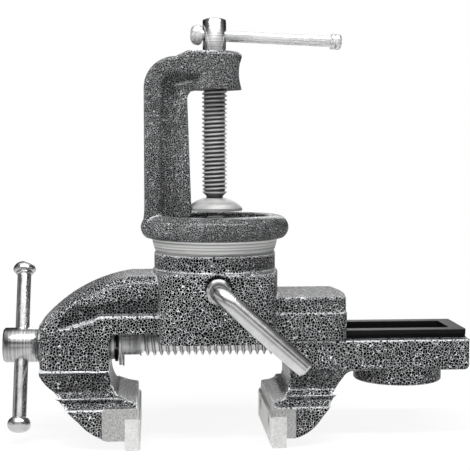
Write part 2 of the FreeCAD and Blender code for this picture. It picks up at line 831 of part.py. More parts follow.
def plate_seat(face, sign):
    """Rebate for a jaw plate and its two tapped holes. The plate faces along sign times X."""
    back = face - sign * plate_thickness
    front = face + sign * plate_thickness
    rebate = box(
        (min(back, front), max(back, front)),
        (-jaw_half_width - 1.0, jaw_half_width + 1.0),
        (plate_top - plate_height - 1.0, plate_top),
    )
    holes = []
    for side in (-1, 1):
        start = vec(face, side * plate_screw_spread, plate_screw_height)
        holes.append(
            Part.makeCylinder(plate_screw_radius + seat_gap, plate_screw_length + 1.0, start, X_AXIS * -sign)
        )
    return [rebate] + holes


def washer_recess():
    """Room above the lead screw for the washers and the split pin to turn in."""
    pin_reach = lead_shank_radius + pin_leg_long + pin_wire_radius
    reach = max(pin_reach, flat_washer_radius, spring_washer_radius, thrust_washer_radius) + dead_clearance
    right = pin_centre + 2 * pin_wire_radius + 2 * dead_clearance
    return Part.makeCylinder(reach, right - throat_wall, vec(throat_wall, 0, screw_height), X_AXIS)


def block_bevel():
    """The bevel along the lower left edge of the block, above the throat."""
    left = -block_half_length - 1.0
    return side_plate(
        [
            (left, body_bottom - 1.0),
            (-block_half_length + block_chamfer + 1.0, body_bottom - 1.0),
            (-block_half_length + block_chamfer, body_bottom),
            (-block_half_length, throat_ceiling),
            (left, throat_ceiling),
        ],
        -block_half_width - 1.0,
        block_half_width + 1.0,
    )


def vise_body():
    solid = fused([arm().fuse(block_and_neck()).cut(block_bevel())] + housing())
    shank_bore = Part.makeCylinder(
        lead_shank_radius + running_fit,
        throat_wall - arm_face + 4.0,
        vec(arm_face - 2.0, 0, screw_height),
        X_AXIS,
    )
    cuts = socket_cuts() + slide_tunnel() + plate_seat(fixed_plate_face, 1)
    return solid.cut(cuts + [shank_bore, washer_recess()])


# ---------------------------------------------------------------------------------------------------------
# Jaw plates
# ---------------------------------------------------------------------------------------------------------
def jaw_plate(face, sign):
    """Hardened plate with two countersunk holes."""
    back = face - sign * plate_thickness
    plate = box(
        (min(face, back), max(face, back)),
        (-jaw_half_width, jaw_half_width),
        (plate_top - plate_height, plate_top),
    )
    long_edges = edges_where(plate, lambda c, e: abs(c.x - face) < 0.01)
    plate = plate.makeChamfer(plate_edge, long_edges)
    cuts = []
    for side in (-1, 1):
        start = vec(face, side * plate_screw_spread, plate_screw_height)
        into = X_AXIS * -sign
        hole = plate_screw_radius + seat_gap
        mouth = plate_screw_head + plate_screw_inset + seat_gap
        cuts.append(Part.makeCylinder(hole, plate_thickness + 1.0, start, into))
        cuts.append(Part.makeCone(mouth, hole, mouth - hole, start, into))
    return plate.cut(cuts)


def plate_screws(face, sign):
    """Two countersunk socket screws, flush with the plate."""
    screws = []
    for side in (-1, 1):
        start = vec(face - sign * plate_screw_inset, side * plate_screw_spread, plate_screw_height)
        into = X_AXIS * -sign
        sink = plate_screw_head - plate_screw_radius
        head = Part.makeCone(plate_screw_head, plate_screw_radius, sink, start, into)
        shank = Part.makeCylinder(plate_screw_radius, plate_screw_length - 0.5, start, into)
        drive_points = []
        for corner_index in range(6):
            turn = math.radians(60 * corner_index)
            reach = plate_screw_drive / math.cos(math.radians(30))
            drive_points.append(
                (start.y + reach * math.cos(turn), start.z + reach * math.sin(turn))
            )
        low = min(start.x, start.x - sign * socket_depth)
        drive = end_plate(drive_points, low, low + socket_depth)
        screws.append(head.fuse(shank).removeSplitter().cut(drive))
    return Part.makeCompound(screws)


# ---------------------------------------------------------------------------------------------------------
# Moving jaw
# ---------------------------------------------------------------------------------------------------------
def moving_outline():
    """Side view of the moving jaw below the bar."""
    throat_centre = (moving_wall - moving_throat_radius, moving_jaw_top + moving_throat_radius)
    return [
        (moving_wall, bar_bottom + 4.0),
        (moving_wall, throat_centre[1]),
        corner(throat_centre, moving_throat_radius, 0, -90),
        (moving_jaw_face, moving_jaw_top - moving_jaw_slope),
        (moving_jaw_face, jaw_foot),
        (moving_jaw_face + 13.8, jaw_foot),
        ((moving_jaw_face + 20.8, jaw_foot + 3.9), (moving_jaw_face + 26.6, jaw_foot + 10.3)),
        (jaw_back_reach - 3.2, bar_bottom - 4.2),
        ((jaw_back_reach - 1.2, bar_bottom - 1.5), (jaw_back_reach + 3.0, bar_bottom)),
        (jaw_back_reach + 3.0, bar_bottom + 4.0),
    ]


def slide_bar():
    """The painted bar with the machined T-shaped slide on top of it."""
    middle = (moving_wall + bar_end) / 2
    half = (bar_end - moving_wall) / 2
    bar = plan_plate(rounded_rectangle(half, bar_half_width, bar_corner, (middle, 0.0)), bar_bottom, bar_top)
    low_edges = edges_where(bar, lambda c, e: abs(c.z - bar_bottom) < 0.01 and c.x > middle)
    bar = bar.makeFillet(bar_corner - 0.4, low_edges)
    neck = box(
        (moving_wall, slide_end),
        (-slide_neck_half_width, slide_neck_half_width),
        (bar_top - 1.0, bar_top + slide_neck_height + 0.2),
    )
    head_half = (slide_end - moving_wall) / 2
    head = plan_plate(
        rounded_rectangle(head_half, slide_half_width, slide_corner, (moving_wall + head_half, 0.0)),
        bar_top + slide_neck_height,
        slide_top,
    )
    return [bar, neck, head]


def moving_jaw():
    pieces = slide_bar()
    outline = moving_outline()
    neck = (moving_neck_half_width, bar_bottom + 1.0)
    pad_span = (moving_jaw_face, moving_jaw_face + moving_machined_length)
    pieces += jaw_foot_solids(outline, neck, moving_waist_depth, pad_span, moving_machined_top)
    anvil = Part.makeCylinder(
        anvil_radius, anvil_height + 2.0, vec(anvil_centre, 0, bar_bottom - anvil_height)
    )
    anvil = anvil.makeChamfer(anvil_edge, edges_where(anvil, lambda c, e: c.z < bar_bottom - 2.0))
    pieces.append(anvil)
    solid = fused(pieces)
    nut_left = moving_wall + nut_wall
    nut_right = nut_left + nut_length
    screw_clear = lead_thread_radius + dead_clearance
    trough_end = slide_end - trough_wall
    trough_left = nut_right
    trough_half = (trough_end - trough_left) / 2
    trough_middle = (trough_left + trough_end) / 2
    trough = plan_plate(
        rounded_rectangle(trough_half, trough_half_width, trough_corner, (trough_middle, 0.0)),
        bar_top - trough_floor,
        slide_top + 1.0,
    )
    channel = box((nut_right - 1.0, trough_end), (-screw_clear, screw_clear), (screw_height, slide_top + 1.0))
    bottom = Part.makeCylinder(
        screw_clear, trough_end - moving_wall + 1.0, vec(moving_wall - 1.0, 0, screw_height), X_AXIS
    )
    pocket = box(
        (nut_left, nut_right),
        (-nut_half_width - seat_gap, nut_half_width + seat_gap),
        (screw_height - nut_drop - seat_gap, slide_top + 1.0),
    )
    return solid.cut([trough, channel, bottom, pocket] + plate_seat(moving_plate_face, -1))


def lead_nut():
    """Square nut dropped into its pocket in the slide."""
    left = moving_wall + nut_wall + seat_gap
    block = box(
        (left, left + nut_length - 2 * seat_gap),
        (-nut_half_width, nut_half_width),
        (screw_height - nut_drop, screw_height + nut_rise),
    )
    bore = Part.makeCylinder(
        lead_thread_radius + running_fit, nut_length + 2.0, vec(left - 1.0, 0, screw_height), X_AXIS
    )
    block = block.makeChamfer(1.0, edges_where(block, lambda c, e: abs(abs(c.y) - nut_half_width) < 0.01))
    return block.cut(bore)


# ---------------------------------------------------------------------------------------------------------
# Lead screw group
# ---------------------------------------------------------------------------------------------------------
lean = math.radians(main_bar_lean)
main_bar_direction = vec(0, math.sin(lean), math.cos(lean))
hub_middle = vec(hub_left + lead_hub_length / 2, 0, screw_height)
washers_left = throat_wall + seat_gap
spring_left = washers_left + thrust_washer_thickness + seat_gap
flat_left = spring_left + spring_washer_thickness + seat_gap
pin_centre = flat_left + flat_washer_thickness + seat_gap + pin_wire_radius


def lead_screw():
    """Hub, plain shank and thread at its full diameter, turned in one."""
    hub_right = hub_left + lead_hub_length
    edge = 0.9
    profile = [
        (0.0, hub_left),
        (lead_hub_radius - edge, hub_left),
        (lead_hub_radius, hub_left + edge),
        (lead_hub_radius, hub_right - 0.4),
        (lead_hub_radius - 0.4, hub_right),
        (lead_shank_radius, hub_right),
        (lead_shank_radius, thread_start - 1.0),
        (lead_thread_radius, thread_start),
        (lead_thread_radius, screw_end - 1.4),
        (lead_thread_radius - 1.4, screw_end),
        (0.0, screw_end),
    ]
    spindle = turned(profile, vec(0, 0, screw_height), X_AXIS)
    cross = Part.makeCylinder(
        main_bar_radius + running_fit,
        4 * lead_hub_radius,
        hub_middle.sub(main_bar_direction * (2 * lead_hub_radius)),
        main_bar_direction,
    )
    pin_hole = Part.makeCylinder(
        pin_wire_radius + running_fit,
        4 * lead_shank_radius,
        vec(pin_centre, 0, screw_height - 2 * lead_shank_radius),
    )
    return spindle.cut([cross, pin_hole])


def washer(left, thickness, outer_radius):
    """Flat ring on the lead screw's shank."""
    ring = [
        (lead_shank_radius + running_fit, left),
        (outer_radius - 0.3, left),
        (outer_radius, left + 0.3),
        (outer_radius, left + thickness - 0.3),
        (outer_radius - 0.3, left + thickness),
        (lead_shank_radius + running_fit, left + thickness),
    ]
    return turned(ring, vec(0, 0, screw_height), X_AXIS)


def thrust_washer():
    return washer(washers_left, thrust_washer_thickness, thrust_washer_radius)


def spring_washer():
    """Ring with one slanting split."""
    ring = washer(spring_left, spring_washer_thickness, spring_washer_radius)
    slit = box(
        (spring_left - 5.0, spring_left + spring_washer_thickness + 5.0),
        (-spring_washer_split / 2, spring_washer_split / 2),
        (screw_height, screw_height + 2 * spring_washer_radius),
    )
    slit = tilted(slit, vec(spring_left, 0, screw_height), Z_AXIS, 25.0)
    return ring.cut(tilted(slit, vec(0, 0, screw_height), X_AXIS, -70.0))


def flat_washer():
    return washer(flat_left, flat_washer_thickness, flat_washer_radius)


def split_pin():
    """Split pin through the shank: an eye above and two legs below, the short one bent aside."""
    top = screw_height + lead_shank_radius + dead_clearance
    foot = screw_height - lead_shank_radius
    straight = rod(pin_wire_radius, vec(pin_centre, 0, foot - pin_leg_long), vec(pin_centre, 0, top))
    eye = Part.makeTorus(
        pin_eye_radius, pin_wire_radius, vec(pin_centre, 0, top + pin_eye_radius), X_AXIS
    )
    turn = math.radians(pin_leg_lean)
    bent_end = vec(pin_centre, pin_leg_short * math.sin(turn), foot - pin_leg_short * math.cos(turn))
    bent = rod(pin_wire_radius - seat_gap, vec(pin_centre, 0, foot), bent_end)
    return fused([straight, eye, bent])


def main_bar():
    """T-bar with a forged mushroom knob at its far end, set at the middle of the hub."""
    half = main_bar_length / 2
    knob = main_knob_length
    top = half + main_bar_offset
    cap_seat = -half + main_bar_offset + knob * 0.5
    profile = [
        (0.0, cap_seat),
        (main_bar_radius, cap_seat),
        (main_bar_radius, top - knob),
        (main_bar_radius + 0.9, top - knob + 0.5),
        (main_bar_radius + 0.9, top - knob + 1.6),
        (main_knob_radius - 0.5, top - knob + 2.0),
        (main_knob_radius, top - knob + 2.8),
        ((main_knob_radius * 0.8, top - knob * 0.2), (main_knob_radius * 0.3, top)),
        (0.0, top),
    ]
    return turned(profile, hub_middle, main_bar_direction)


def main_bar_cap():
    """Ball-shaped cap pressed on the bar's near end."""
    half = main_bar_length / 2
    low = -half + main_bar_offset
    knob = main_knob_length
    profile = [
        (0.0, low),
        (main_knob_radius * 0.55, low),
        ((main_knob_radius, low + knob * 0.52), (main_knob_radius * 0.72, low + knob)),
        (main_bar_radius, low + knob),
        (main_bar_radius, low + knob * 0.5),
        (0.0, low + knob * 0.5),
    ]
    return turned(profile, hub_middle, main_bar_direction)


# ---------------------------------------------------------------------------------------------------------
# Ball lock
# ---------------------------------------------------------------------------------------------------------
def dished(outer_radius, inner_radius, hole, rim):
    """Section of a dished washer between two spheres about the ball's centre."""
    def low(sphere, radius):
        return -math.sqrt(sphere ** 2 - radius ** 2)
    middle = (hole + rim) / 2
    inner_rim = rim - (outer_radius - inner_radius) * rim / outer_radius
    inner_middle = (hole + inner_rim) / 2
    return [
        (hole, low(outer_radius, hole)),
        ((middle, low(outer_radius, middle)), (rim, low(outer_radius, rim))),
        (inner_rim, low(inner_radius, inner_rim)),
        ((inner_middle, low(inner_radius, inner_middle)), (hole, low(inner_radius, hole))),
    ]


outer_washer_sphere = ball_seat - seat_gap
outer_washer_inside = outer_washer_sphere - outer_washer_thickness
inner_washer_sphere = outer_washer_inside - seat_gap


def outer_dished_washer():
    section = dished(outer_washer_sphere, outer_washer_inside, outer_washer_hole, outer_washer_rim)
    return turned(section, vec(0, 0, ball_height), Z_AXIS)


def inner_dished_washer():
    """Washer with a spherical underside and a flat top for the nut."""
    hole = bolt_radius + running_fit
    middle = (hole + inner_washer_rim) / 2
    def low(radius):
        return -math.sqrt(inner_washer_sphere ** 2 - radius ** 2)
    section = [
        (hole, low(hole)),
        ((middle, low(middle)), (inner_washer_rim, low(inner_washer_rim))),
        (inner_washer_rim, -inner_washer_top),
        (hole, -inner_washer_top),
    ]
    return turned(section, vec(0, 0, ball_height), Z_AXIS)


bolt_washer_foot = ball_height - inner_washer_top + seat_gap
nut_foot = bolt_washer_foot + bolt_washer_thickness


def draw_bolt():
    """Bolt with an eye that the lever's eccentric works in."""
    eye = Part.makeCylinder(
        eye_radius, eye_thickness, vec(0, -eye_thickness / 2, eccentric_height), Y_AXIS
    )
    shank = Part.makeCylinder(bolt_radius, bolt_end - eccentric_height, vec(0, 0, eccentric_height))
    tip = edges_where(shank, lambda c, e: abs(c.z - bolt_end) < 0.01)
    shank = shank.makeChamfer(0.9, tip)
    hole_radius = lever_rod_radius + eye_slack
    slot = rounded_rectangle(hole_radius + eye_sway, hole_radius, hole_radius - 0.01, (0.0, eccentric_height))
    hole = side_plate(slot, -eye_thickness, eye_thickness)
    return fused([eye, shank]).cut(hole)


def bolt_washer():
    section = [
        (bolt_radius + seat_gap, bolt_washer_foot),
        (bolt_washer_radius, bolt_washer_foot),
        (bolt_washer_radius, nut_foot - 0.3),
        (bolt_washer_radius - 0.3, nut_foot),
        (bolt_radius + seat_gap, nut_foot),
    ]
    return turned(section, ORIGIN, Z_AXIS)


def lock_nut():
    """Hexagon nut with both faces bevelled."""
    corners = []
    for index in range(6):
        turn = math.radians(60 * index + 30)
        reach = nut_flats / 2 / math.cos(math.radians(30))
        corners.append((reach * math.cos(turn), reach * math.sin(turn)))
    head = nut_foot + nut_height
    prism = plan_plate(corners, nut_foot, head)
    reach = nut_flats / 2 / math.cos(math.radians(30))
    bevel = turned(
        [
            (0.0, nut_foot),
            (reach - nut_chamfer, nut_foot),
            (reach, nut_foot + nut_chamfer / 2),
            (reach, head - nut_chamfer / 2),
            (reach - nut_chamfer, head),
            (0.0, head),
        ],
        ORIGIN,
        Z_AXIS,
    )
    bore = Part.makeCylinder(bolt_radius + running_fit, nut_height + 2.0, vec(0, 0, nut_foot - 1.0))
    return prism.common(bevel).cut(bore)


tail_end = block_half_width + tail_overhang


def lock_lever():
    """Lever: bent handle, journal, eccentric and thin tail in one bar."""
    axis_point = vec(0, 0, lever_height)
    collar_front = -block_half_width - lever_collar
    eccentric_half = eye_thickness / 2 + slide_gap
    journal = turned(
        [
            (0.0, collar_front),
            (lever_journal_radius - 1.2, collar_front),
            (lever_journal_radius, collar_front + 1.2),
            (lever_journal_radius, -eccentric_half),
            (0.0, -eccentric_half),
        ],
        axis_point,
        Y_AXIS,
    )
    eccentric = Part.makeCylinder(
        lever_rod_radius, 2 * eccentric_half + 2.0, vec(0, -eccentric_half - 1.0, eccentric_height), Y_AXIS
    )
    groove_from = block_half_width + 0.4
    tail = turned(
        [
            (0.0, eccentric_half),
            (lever_tail_radius, eccentric_half),
            (lever_tail_radius, groove_from),
            (lever_tail_radius - 0.6, groove_from),
            (lever_tail_radius - 0.6, groove_from + ring_wire),
            (lever_tail_radius, groove_from + ring_wire),
            (lever_tail_radius, tail_end - 0.6),
            (lever_tail_radius - 0.6, tail_end),
            (0.0, tail_end),
        ],
        axis_point,
        Y_AXIS,
    )
    splay = math.radians(lever_splay)
    bend_start = collar_front - 0.5
    centre = vec(lever_bend, bend_start, lever_height)
    stub = rod(lever_rod_radius, vec(0, collar_front + 1.0, lever_height), vec(0, bend_start, lever_height))
    disc = Part.Face(Part.Wire(Part.makeCircle(lever_rod_radius, vec(0, bend_start, lever_height), Y_AXIS)))
    elbow = disc.revolve(centre, Z_AXIS, 90 - lever_splay)
    elbow_end = vec(
        lever_bend - lever_bend * math.sin(splay),
        bend_start - lever_bend * math.cos(splay),
        lever_height,
    )
    run = (lever_reach - elbow_end.x) / math.cos(splay)
    along = vec(math.cos(splay), -math.sin(splay), 0)
    handle = turned(
        [
            (0.0, 0.0),
            (lever_rod_radius, 0.0),
            (lever_rod_radius, run - lever_tip),
            (lever_rod_radius - lever_tip, run),
            (0.0, run),
        ],
        elbow_end,
        along,
    )
    bent = fused([stub, elbow, handle])
    bent = tilted(bent, axis_point, Y_AXIS, -lever_angle)
    return fused([journal, eccentric, tail, bent])


def lever_ring():
    """Open retaining ring in the groove of the lever's tail, behind the body."""
    inside = lever_tail_radius - 0.6 + running_fit
    left = block_half_width + 0.4 + seat_gap / 2
    section = [
        (inside, left),
        (inside + ring_width, left),
        (inside + ring_width, left + ring_wire - seat_gap),
        (inside, left + ring_wire - seat_gap),
    ]
    ring = turned(section, vec(0, 0, lever_height), Y_AXIS)
    half_mouth = inside / 2
    mouth = box(
        (-half_mouth, half_mouth),
        (left - 1.0, left + ring_wire + 1.0),
        (lever_height - trim_room, lever_height),
    )
    return ring.cut(mouth)


NODES = {
    "clamp_base": clamp_base,
    "clamp_screw": clamp_screw,
    "clamp_pad": clamp_pad,
    "clamp_bar": clamp_bar,
    "clamp_bar_cap": clamp_bar_cap,
    "outer_dished_washer": outer_dished_washer,
    "inner_dished_washer": inner_dished_washer,
    "vise_body": vise_body,
    "fixed_jaw_plate": lambda: jaw_plate(fixed_plate_face, 1),
    "fixed_plate_screws": lambda: plate_screws(fixed_plate_face, 1),
    "lock_lever": lock_lever,
    "lever_ring": lever_ring,
    "draw_bolt": draw_bolt,
    "bolt_washer": bolt_washer,
    "lock_nut": lock_nut,
    "lead_screw": lead_screw,
    "thrust_washer": thrust_washer,
    "spring_washer": spring_washer,
    "flat_washer": flat_washer,
    "split_pin": split_pin,
    "main_bar": main_bar,
    "main_bar_cap": main_bar_cap,
    "moving_jaw": moving_jaw,
    "moving_jaw_plate": lambda: jaw_plate(moving_plate_face, -1),
    "moving_plate_screws": lambda: plate_screws(moving_plate_face, -1),
    "lead_nut": lead_nut,
}

os.makedirs("parts", exist_ok=True)
for name, make in NODES.items():
    shape = make()
    if not shape.isValid():
        raise ValueError(name + " is not a valid solid")
    shape.exportStep("parts/" + name + ".step")
    print(name, "solids", len(shape.Solids), "volume", round(shape.Volume, 1))
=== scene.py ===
# %% [markdown]
# # A ball vise
#
# A ball vise clamps to a bench top and holds small work. Its body sits on a hollow ball, so it can be turned
# and tilted, and a lever locks it. This one stands on its jaws with the bench clamp on top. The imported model
# gives every solid of it in metres. This notebook dresses those solids: it works out the threads, the spring
# washer and the split pin as surfaces with numpy, and gives every casting, bar and plate its own finish.

# %% Load the solids
import math

import bmesh
import bpy
import numpy as np
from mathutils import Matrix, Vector


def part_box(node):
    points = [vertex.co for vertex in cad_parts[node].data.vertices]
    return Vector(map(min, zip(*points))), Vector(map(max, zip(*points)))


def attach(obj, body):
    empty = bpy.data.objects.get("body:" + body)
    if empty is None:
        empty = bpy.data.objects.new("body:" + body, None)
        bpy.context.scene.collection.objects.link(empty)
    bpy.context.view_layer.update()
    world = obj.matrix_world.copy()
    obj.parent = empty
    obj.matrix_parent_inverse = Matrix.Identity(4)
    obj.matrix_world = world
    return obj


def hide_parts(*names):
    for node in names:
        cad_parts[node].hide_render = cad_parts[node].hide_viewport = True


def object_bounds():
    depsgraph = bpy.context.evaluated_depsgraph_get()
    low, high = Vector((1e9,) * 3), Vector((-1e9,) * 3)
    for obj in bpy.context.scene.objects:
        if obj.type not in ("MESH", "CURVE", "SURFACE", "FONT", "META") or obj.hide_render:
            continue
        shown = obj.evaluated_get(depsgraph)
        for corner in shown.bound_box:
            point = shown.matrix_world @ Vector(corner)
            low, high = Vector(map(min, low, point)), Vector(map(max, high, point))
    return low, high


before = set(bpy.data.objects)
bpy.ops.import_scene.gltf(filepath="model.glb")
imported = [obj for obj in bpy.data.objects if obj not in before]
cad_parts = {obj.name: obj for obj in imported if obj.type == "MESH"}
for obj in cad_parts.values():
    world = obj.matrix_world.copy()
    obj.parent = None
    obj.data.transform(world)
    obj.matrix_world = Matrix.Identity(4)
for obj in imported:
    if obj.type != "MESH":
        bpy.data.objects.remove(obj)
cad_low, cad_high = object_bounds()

MM = 0.001
box_sides = [round((high - low) / MM, 1) for low, high in zip(cad_low, cad_high)]
print("solids", len(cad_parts), "box in mm", box_sides)

# %% [markdown]
# ## Camera
#
# The camera comes first, because it decides how large every detail is on the picture. It could be placed by
# eye, but a lens is easier to reason about: its focal length in pixels says how many pixels one metre covers
# at one metre's distance. It stands a little left of the swivel axis, just above the ring, and looks slightly
# down and to the right.

# %% Camera
PICTURE_SIDE = 470          # pixels
FOCAL_PIXELS = 1150.0       # focal length in the same pixels
SENSOR_WIDTH = 36.0         # mm, Blender's usual one
YAW_RIGHT = 4.13            # degrees
PITCH_DOWN = 4.2            # degrees
CAMERA_PLACE = (-0.0363, -0.667, 0.0372)    # metres
NEAREST_SEEN = 0.05         # metres: nothing nearer to the lens is drawn

lens = bpy.data.cameras.new("studio_camera")
lens.sensor_width = SENSOR_WIDTH
lens.lens = FOCAL_PIXELS / PICTURE_SIDE * SENSOR_WIDTH
lens.clip_start = NEAREST_SEEN
camera = bpy.data.objects.new("studio_camera", lens)
camera.location = CAMERA_PLACE
camera.rotation_euler = (math.radians(90 - PITCH_DOWN), 0, math.radians(-YAW_RIGHT))
bpy.context.scene.collection.objects.link(camera)
bpy.context.scene.camera = camera
bpy.context.scene.view_settings.view_transform = "Standard"
print("lens in mm", round(lens.lens, 1))

# %% [markdown]
# ## Colours and nodes
#
# A colour picked on a screen is an sRGB hex value, and a renderer adds up light, so every such colour is
# turned to linear first. A material is a tree of nodes. It could be clicked together, but written out it can
# be read and repeated, so one function adds a node, sets its values and joins it to the nodes before it.

# %% Colours and nodes
def linear(hex_colour):
    """An sRGB hex colour as linear RGBA.

    A channel c from 0 to 1 becomes c / 12.92 up to 0.04045, and ((c + 0.055) / 1.055) ** 2.4 above.
    """
    channels = np.array([int(hex_colour[i:i + 2], 16) for i in (1, 3, 5)]) / 255.0
    bright = ((channels + 0.055) / 1.055) ** 2.4
    return tuple(np.where(channels > 0.04045, bright, channels / 12.92)) + (1.0,)


def add_node(tree, kind, settings=None, **links):
    """Adds one node and returns it.

    settings holds its properties, the values of its sockets by name or number, and a colour ramp's stops as
    (position, hex colour or grey level). links joins sockets, such as Base_Color or i0 for number 0, to an
    output, or to the first output of a node.
    """
    node = tree.nodes.new(kind)
    for key, value in (settings or {}).items():
        if key == "stops":
            elements = node.color_ramp.elements
            for _ in range(len(value) - len(elements)):
                elements.new(0.5)
            for element, (position, colour) in zip(elements, value):
                element.position = position
                element.color = linear(colour) if isinstance(colour, str) else (colour, colour, colour, 1.0)
        elif isinstance(key, int) or key in node.inputs:
            node.inputs[key].default_value = value
        else:
            setattr(node, key, value)
    for key, source in links.items():
        socket = node.inputs[int(key[1:])] if key[1:].isdigit() else node.inputs[key.replace("_", " ")]
        tree.links.new(source.outputs[0] if isinstance(source, bpy.types.Node) else source, socket)
    return node


def combined(tree, operation, values):
    """One value from several, by a chain of math nodes.

    MULTIPLY keeps what all of them have, MAXIMUM what any of them has, and SUBTRACT takes the others away.
    """
    result = values[0]
    for value in values[1:]:
        result = add_node(tree, "ShaderNodeMath", {"operation": operation}, i0=result, i1=value)
    return result


print("a middle grey is", round(float(linear("#808080")[0]), 3), "in linear light")

# %% [markdown]
# ## The room that the metal mirrors
#
# Bare metal shows little of its own colour: it shows the room. A picture of a real studio could light the
# scene, but a few dark stripes do the same and stay readable. So the world is white where the camera looks
# straight at it, dim and even where it lights the vise, and striped where it is mirrored, which draws the
# bright and dark streaks along the round bars.

# %% World
ROOM_COLOUR = "#f2f4f6"
ROOM_LIGHT = 0.16           # the even light from all sides, low so that hollows stay dark
# Brightness against direction. 0 is straight down, left or on the camera's side; 1 is up, right or beyond.
UP_STRIPES = ((0.0, 0.9), (0.57, 0.9), (0.63, 0.1), (0.72, 0.1), (0.78, 1.0), (1.0, 1.0))
RIGHT_STRIPES = (
    (0.0, 0.8), (0.06, 0.8), (0.1, 0.1), (0.17, 0.12), (0.24, 0.9), (0.5, 1.0),
    (0.78, 0.9), (0.85, 0.1), (0.93, 0.12), (0.97, 0.8), (1.0, 0.8),
)
BEYOND_STRIPES = ((0.0, 1.0), (0.6, 1.0), (0.8, 0.12), (1.0, 0.08))

world = bpy.data.worlds.new("paper_room")
bpy.context.scene.world = world
world.use_nodes = True
room = world.node_tree
room.nodes.clear()
direction = add_node(room, "ShaderNodeTexCoord").outputs["Generated"]
axes = add_node(room, "ShaderNodeSeparateXYZ", i0=direction).outputs
multiply = {"data_type": "RGBA", "blend_type": "MULTIPLY", 0: 1.0}
stripes = []
for axis, stops in ((2, UP_STRIPES), (0, RIGHT_STRIPES), (1, BEYOND_STRIPES)):
    share = add_node(room, "ShaderNodeMapRange", {1: -1.0, 2: 1.0}, i0=axes[axis])
    stripes.append(add_node(room, "ShaderNodeValToRGB", {"stops": stops}, i0=share))
front = add_node(room, "ShaderNodeMix", multiply, i6=stripes[0], i7=stripes[1]).outputs[2]
striped = add_node(room, "ShaderNodeMix", multiply, i6=front, i7=stripes[2]).outputs[2]
rays = add_node(room, "ShaderNodeLightPath").outputs
soft_room = add_node(room, "ShaderNodeBackground", {"Color": linear(ROOM_COLOUR), "Strength": ROOM_LIGHT})
striped_room = add_node(room, "ShaderNodeBackground", {"Strength": 1.0}, Color=striped)
white_room = add_node(room, "ShaderNodeBackground", {"Color": linear("#ffffff"), "Strength": 1.0})
lit = add_node(room, "ShaderNodeMixShader", i0=rays["Is Glossy Ray"], i1=soft_room, i2=striped_room)
seen = add_node(room, "ShaderNodeMixShader", i0=rays["Is Camera Ray"], i1=lit, i2=white_room)
add_node(room, "ShaderNodeOutputWorld", i0=seen)
print("world nodes", len(room.nodes))

# %% [markdown]
# ## Floor and lamps
#
# A catalogue picture stands on a pale sheet of paper and is lit by large soft lamps. The paper keeps the
# shadow under the vise and fades to plain white a little further out, so that no horizon shows. The light
# itself comes from a long strip lamp overhead, which leaves one thin bright line on each round bar, with
# weaker lamps at the sides and behind to open the shadows.

# %% Floor
PAPER_WHITE = "#f4f4f4"
FLOOR_LEVEL = cad_low[2]
FLOOR_HALF = 1.6                    # metres
FADE_FROM, FADE_TO = 0.15, 0.4      # between these distances the shadowed paper turns plain white
FADE_START = 0.9                    # and at the first of them it is this far on
PAINTED_REFLECTION_STOPS = ((0.2, 0.85), (0.3, 0.45), (0.6, 0.3))    # (metres from the vise, brightness in a mirror)


def pale_paper():
    """Matt white paper: plain white where the camera looks at it, with the object's shadow kept.

    For mirror rays the paper glows instead, as a painted reflection, bright near the object and dark further
    out.
    """
    material = bpy.data.materials.new("white_studio_paper")
    material.use_nodes = True
    tree = material.node_tree
    tree.nodes.clear()
    paper = add_node(tree, "ShaderNodeBsdfDiffuse", {"Color": linear(PAPER_WHITE)})
    white = add_node(tree, "ShaderNodeEmission", {"Color": linear("#ffffff"), "Strength": 1.0})
    rays = add_node(tree, "ShaderNodeLightPath").outputs
    place = add_node(tree, "ShaderNodeTexCoord").outputs["Object"]
    distance = add_node(tree, "ShaderNodeVectorMath", {"operation": "LENGTH"}, i0=place).outputs["Value"]
    fade = {1: FADE_FROM, 2: FADE_TO, 3: FADE_START, 4: 1.0}
    whiteness = add_node(tree, "ShaderNodeMapRange", fade, i0=distance)
    share = combined(tree, "MULTIPLY", [rays["Is Camera Ray"], whiteness])
    looked_at = add_node(tree, "ShaderNodeMixShader", i0=share, i1=paper, i2=white)
    # painted reflection: for mirror rays the paper glows by distance, bright near the vise and dark further
    # out
    painted_reflection_ramp = add_node(tree, "ShaderNodeValToRGB", {"stops": PAINTED_REFLECTION_STOPS}, i0=distance)
    mirrored = add_node(tree, "ShaderNodeEmission", {"Strength": 1.0}, Color=painted_reflection_ramp)
    surface = add_node(tree, "ShaderNodeMixShader", i0=rays["Is Glossy Ray"], i1=looked_at, i2=mirrored)
    add_node(tree, "ShaderNodeOutputMaterial", i0=surface)
    return material


corners = [(x * FLOOR_HALF, y * FLOOR_HALF, FLOOR_LEVEL) for x, y in ((-1, -1), (1, -1), (1, 1), (-1, 1))]
floor_mesh = bpy.data.meshes.new("studio_floor")
floor_mesh.from_pydata(corners, [], [(0, 1, 2, 3)])
floor_mesh.materials.append(pale_paper())
floor = bpy.data.objects.new("studio_floor", floor_mesh)
bpy.context.scene.collection.objects.link(floor)
print("floor level in mm", round(FLOOR_LEVEL / MM, 1))


# %% Lamps
def soft_lamp(name, place, target, length, width, power, mirrored):
    """A lamp of that length along its own X and that width, in metres, at place, aimed at target.

    Its power is in watts. Bare metal shows the lamp itself only if mirrored.
    """
    data = bpy.data.lights.new(name, "AREA")
    data.shape = "RECTANGLE"
    data.size = length
    data.size_y = width
    data.energy = power
    lamp = bpy.data.objects.new(name, data)
    lamp.location = place
    lamp.rotation_euler = (Vector(target) - Vector(place)).to_track_quat("-Z", "Y").to_euler()
    lamp.visible_glossy = mirrored
    bpy.context.scene.collection.objects.link(lamp)


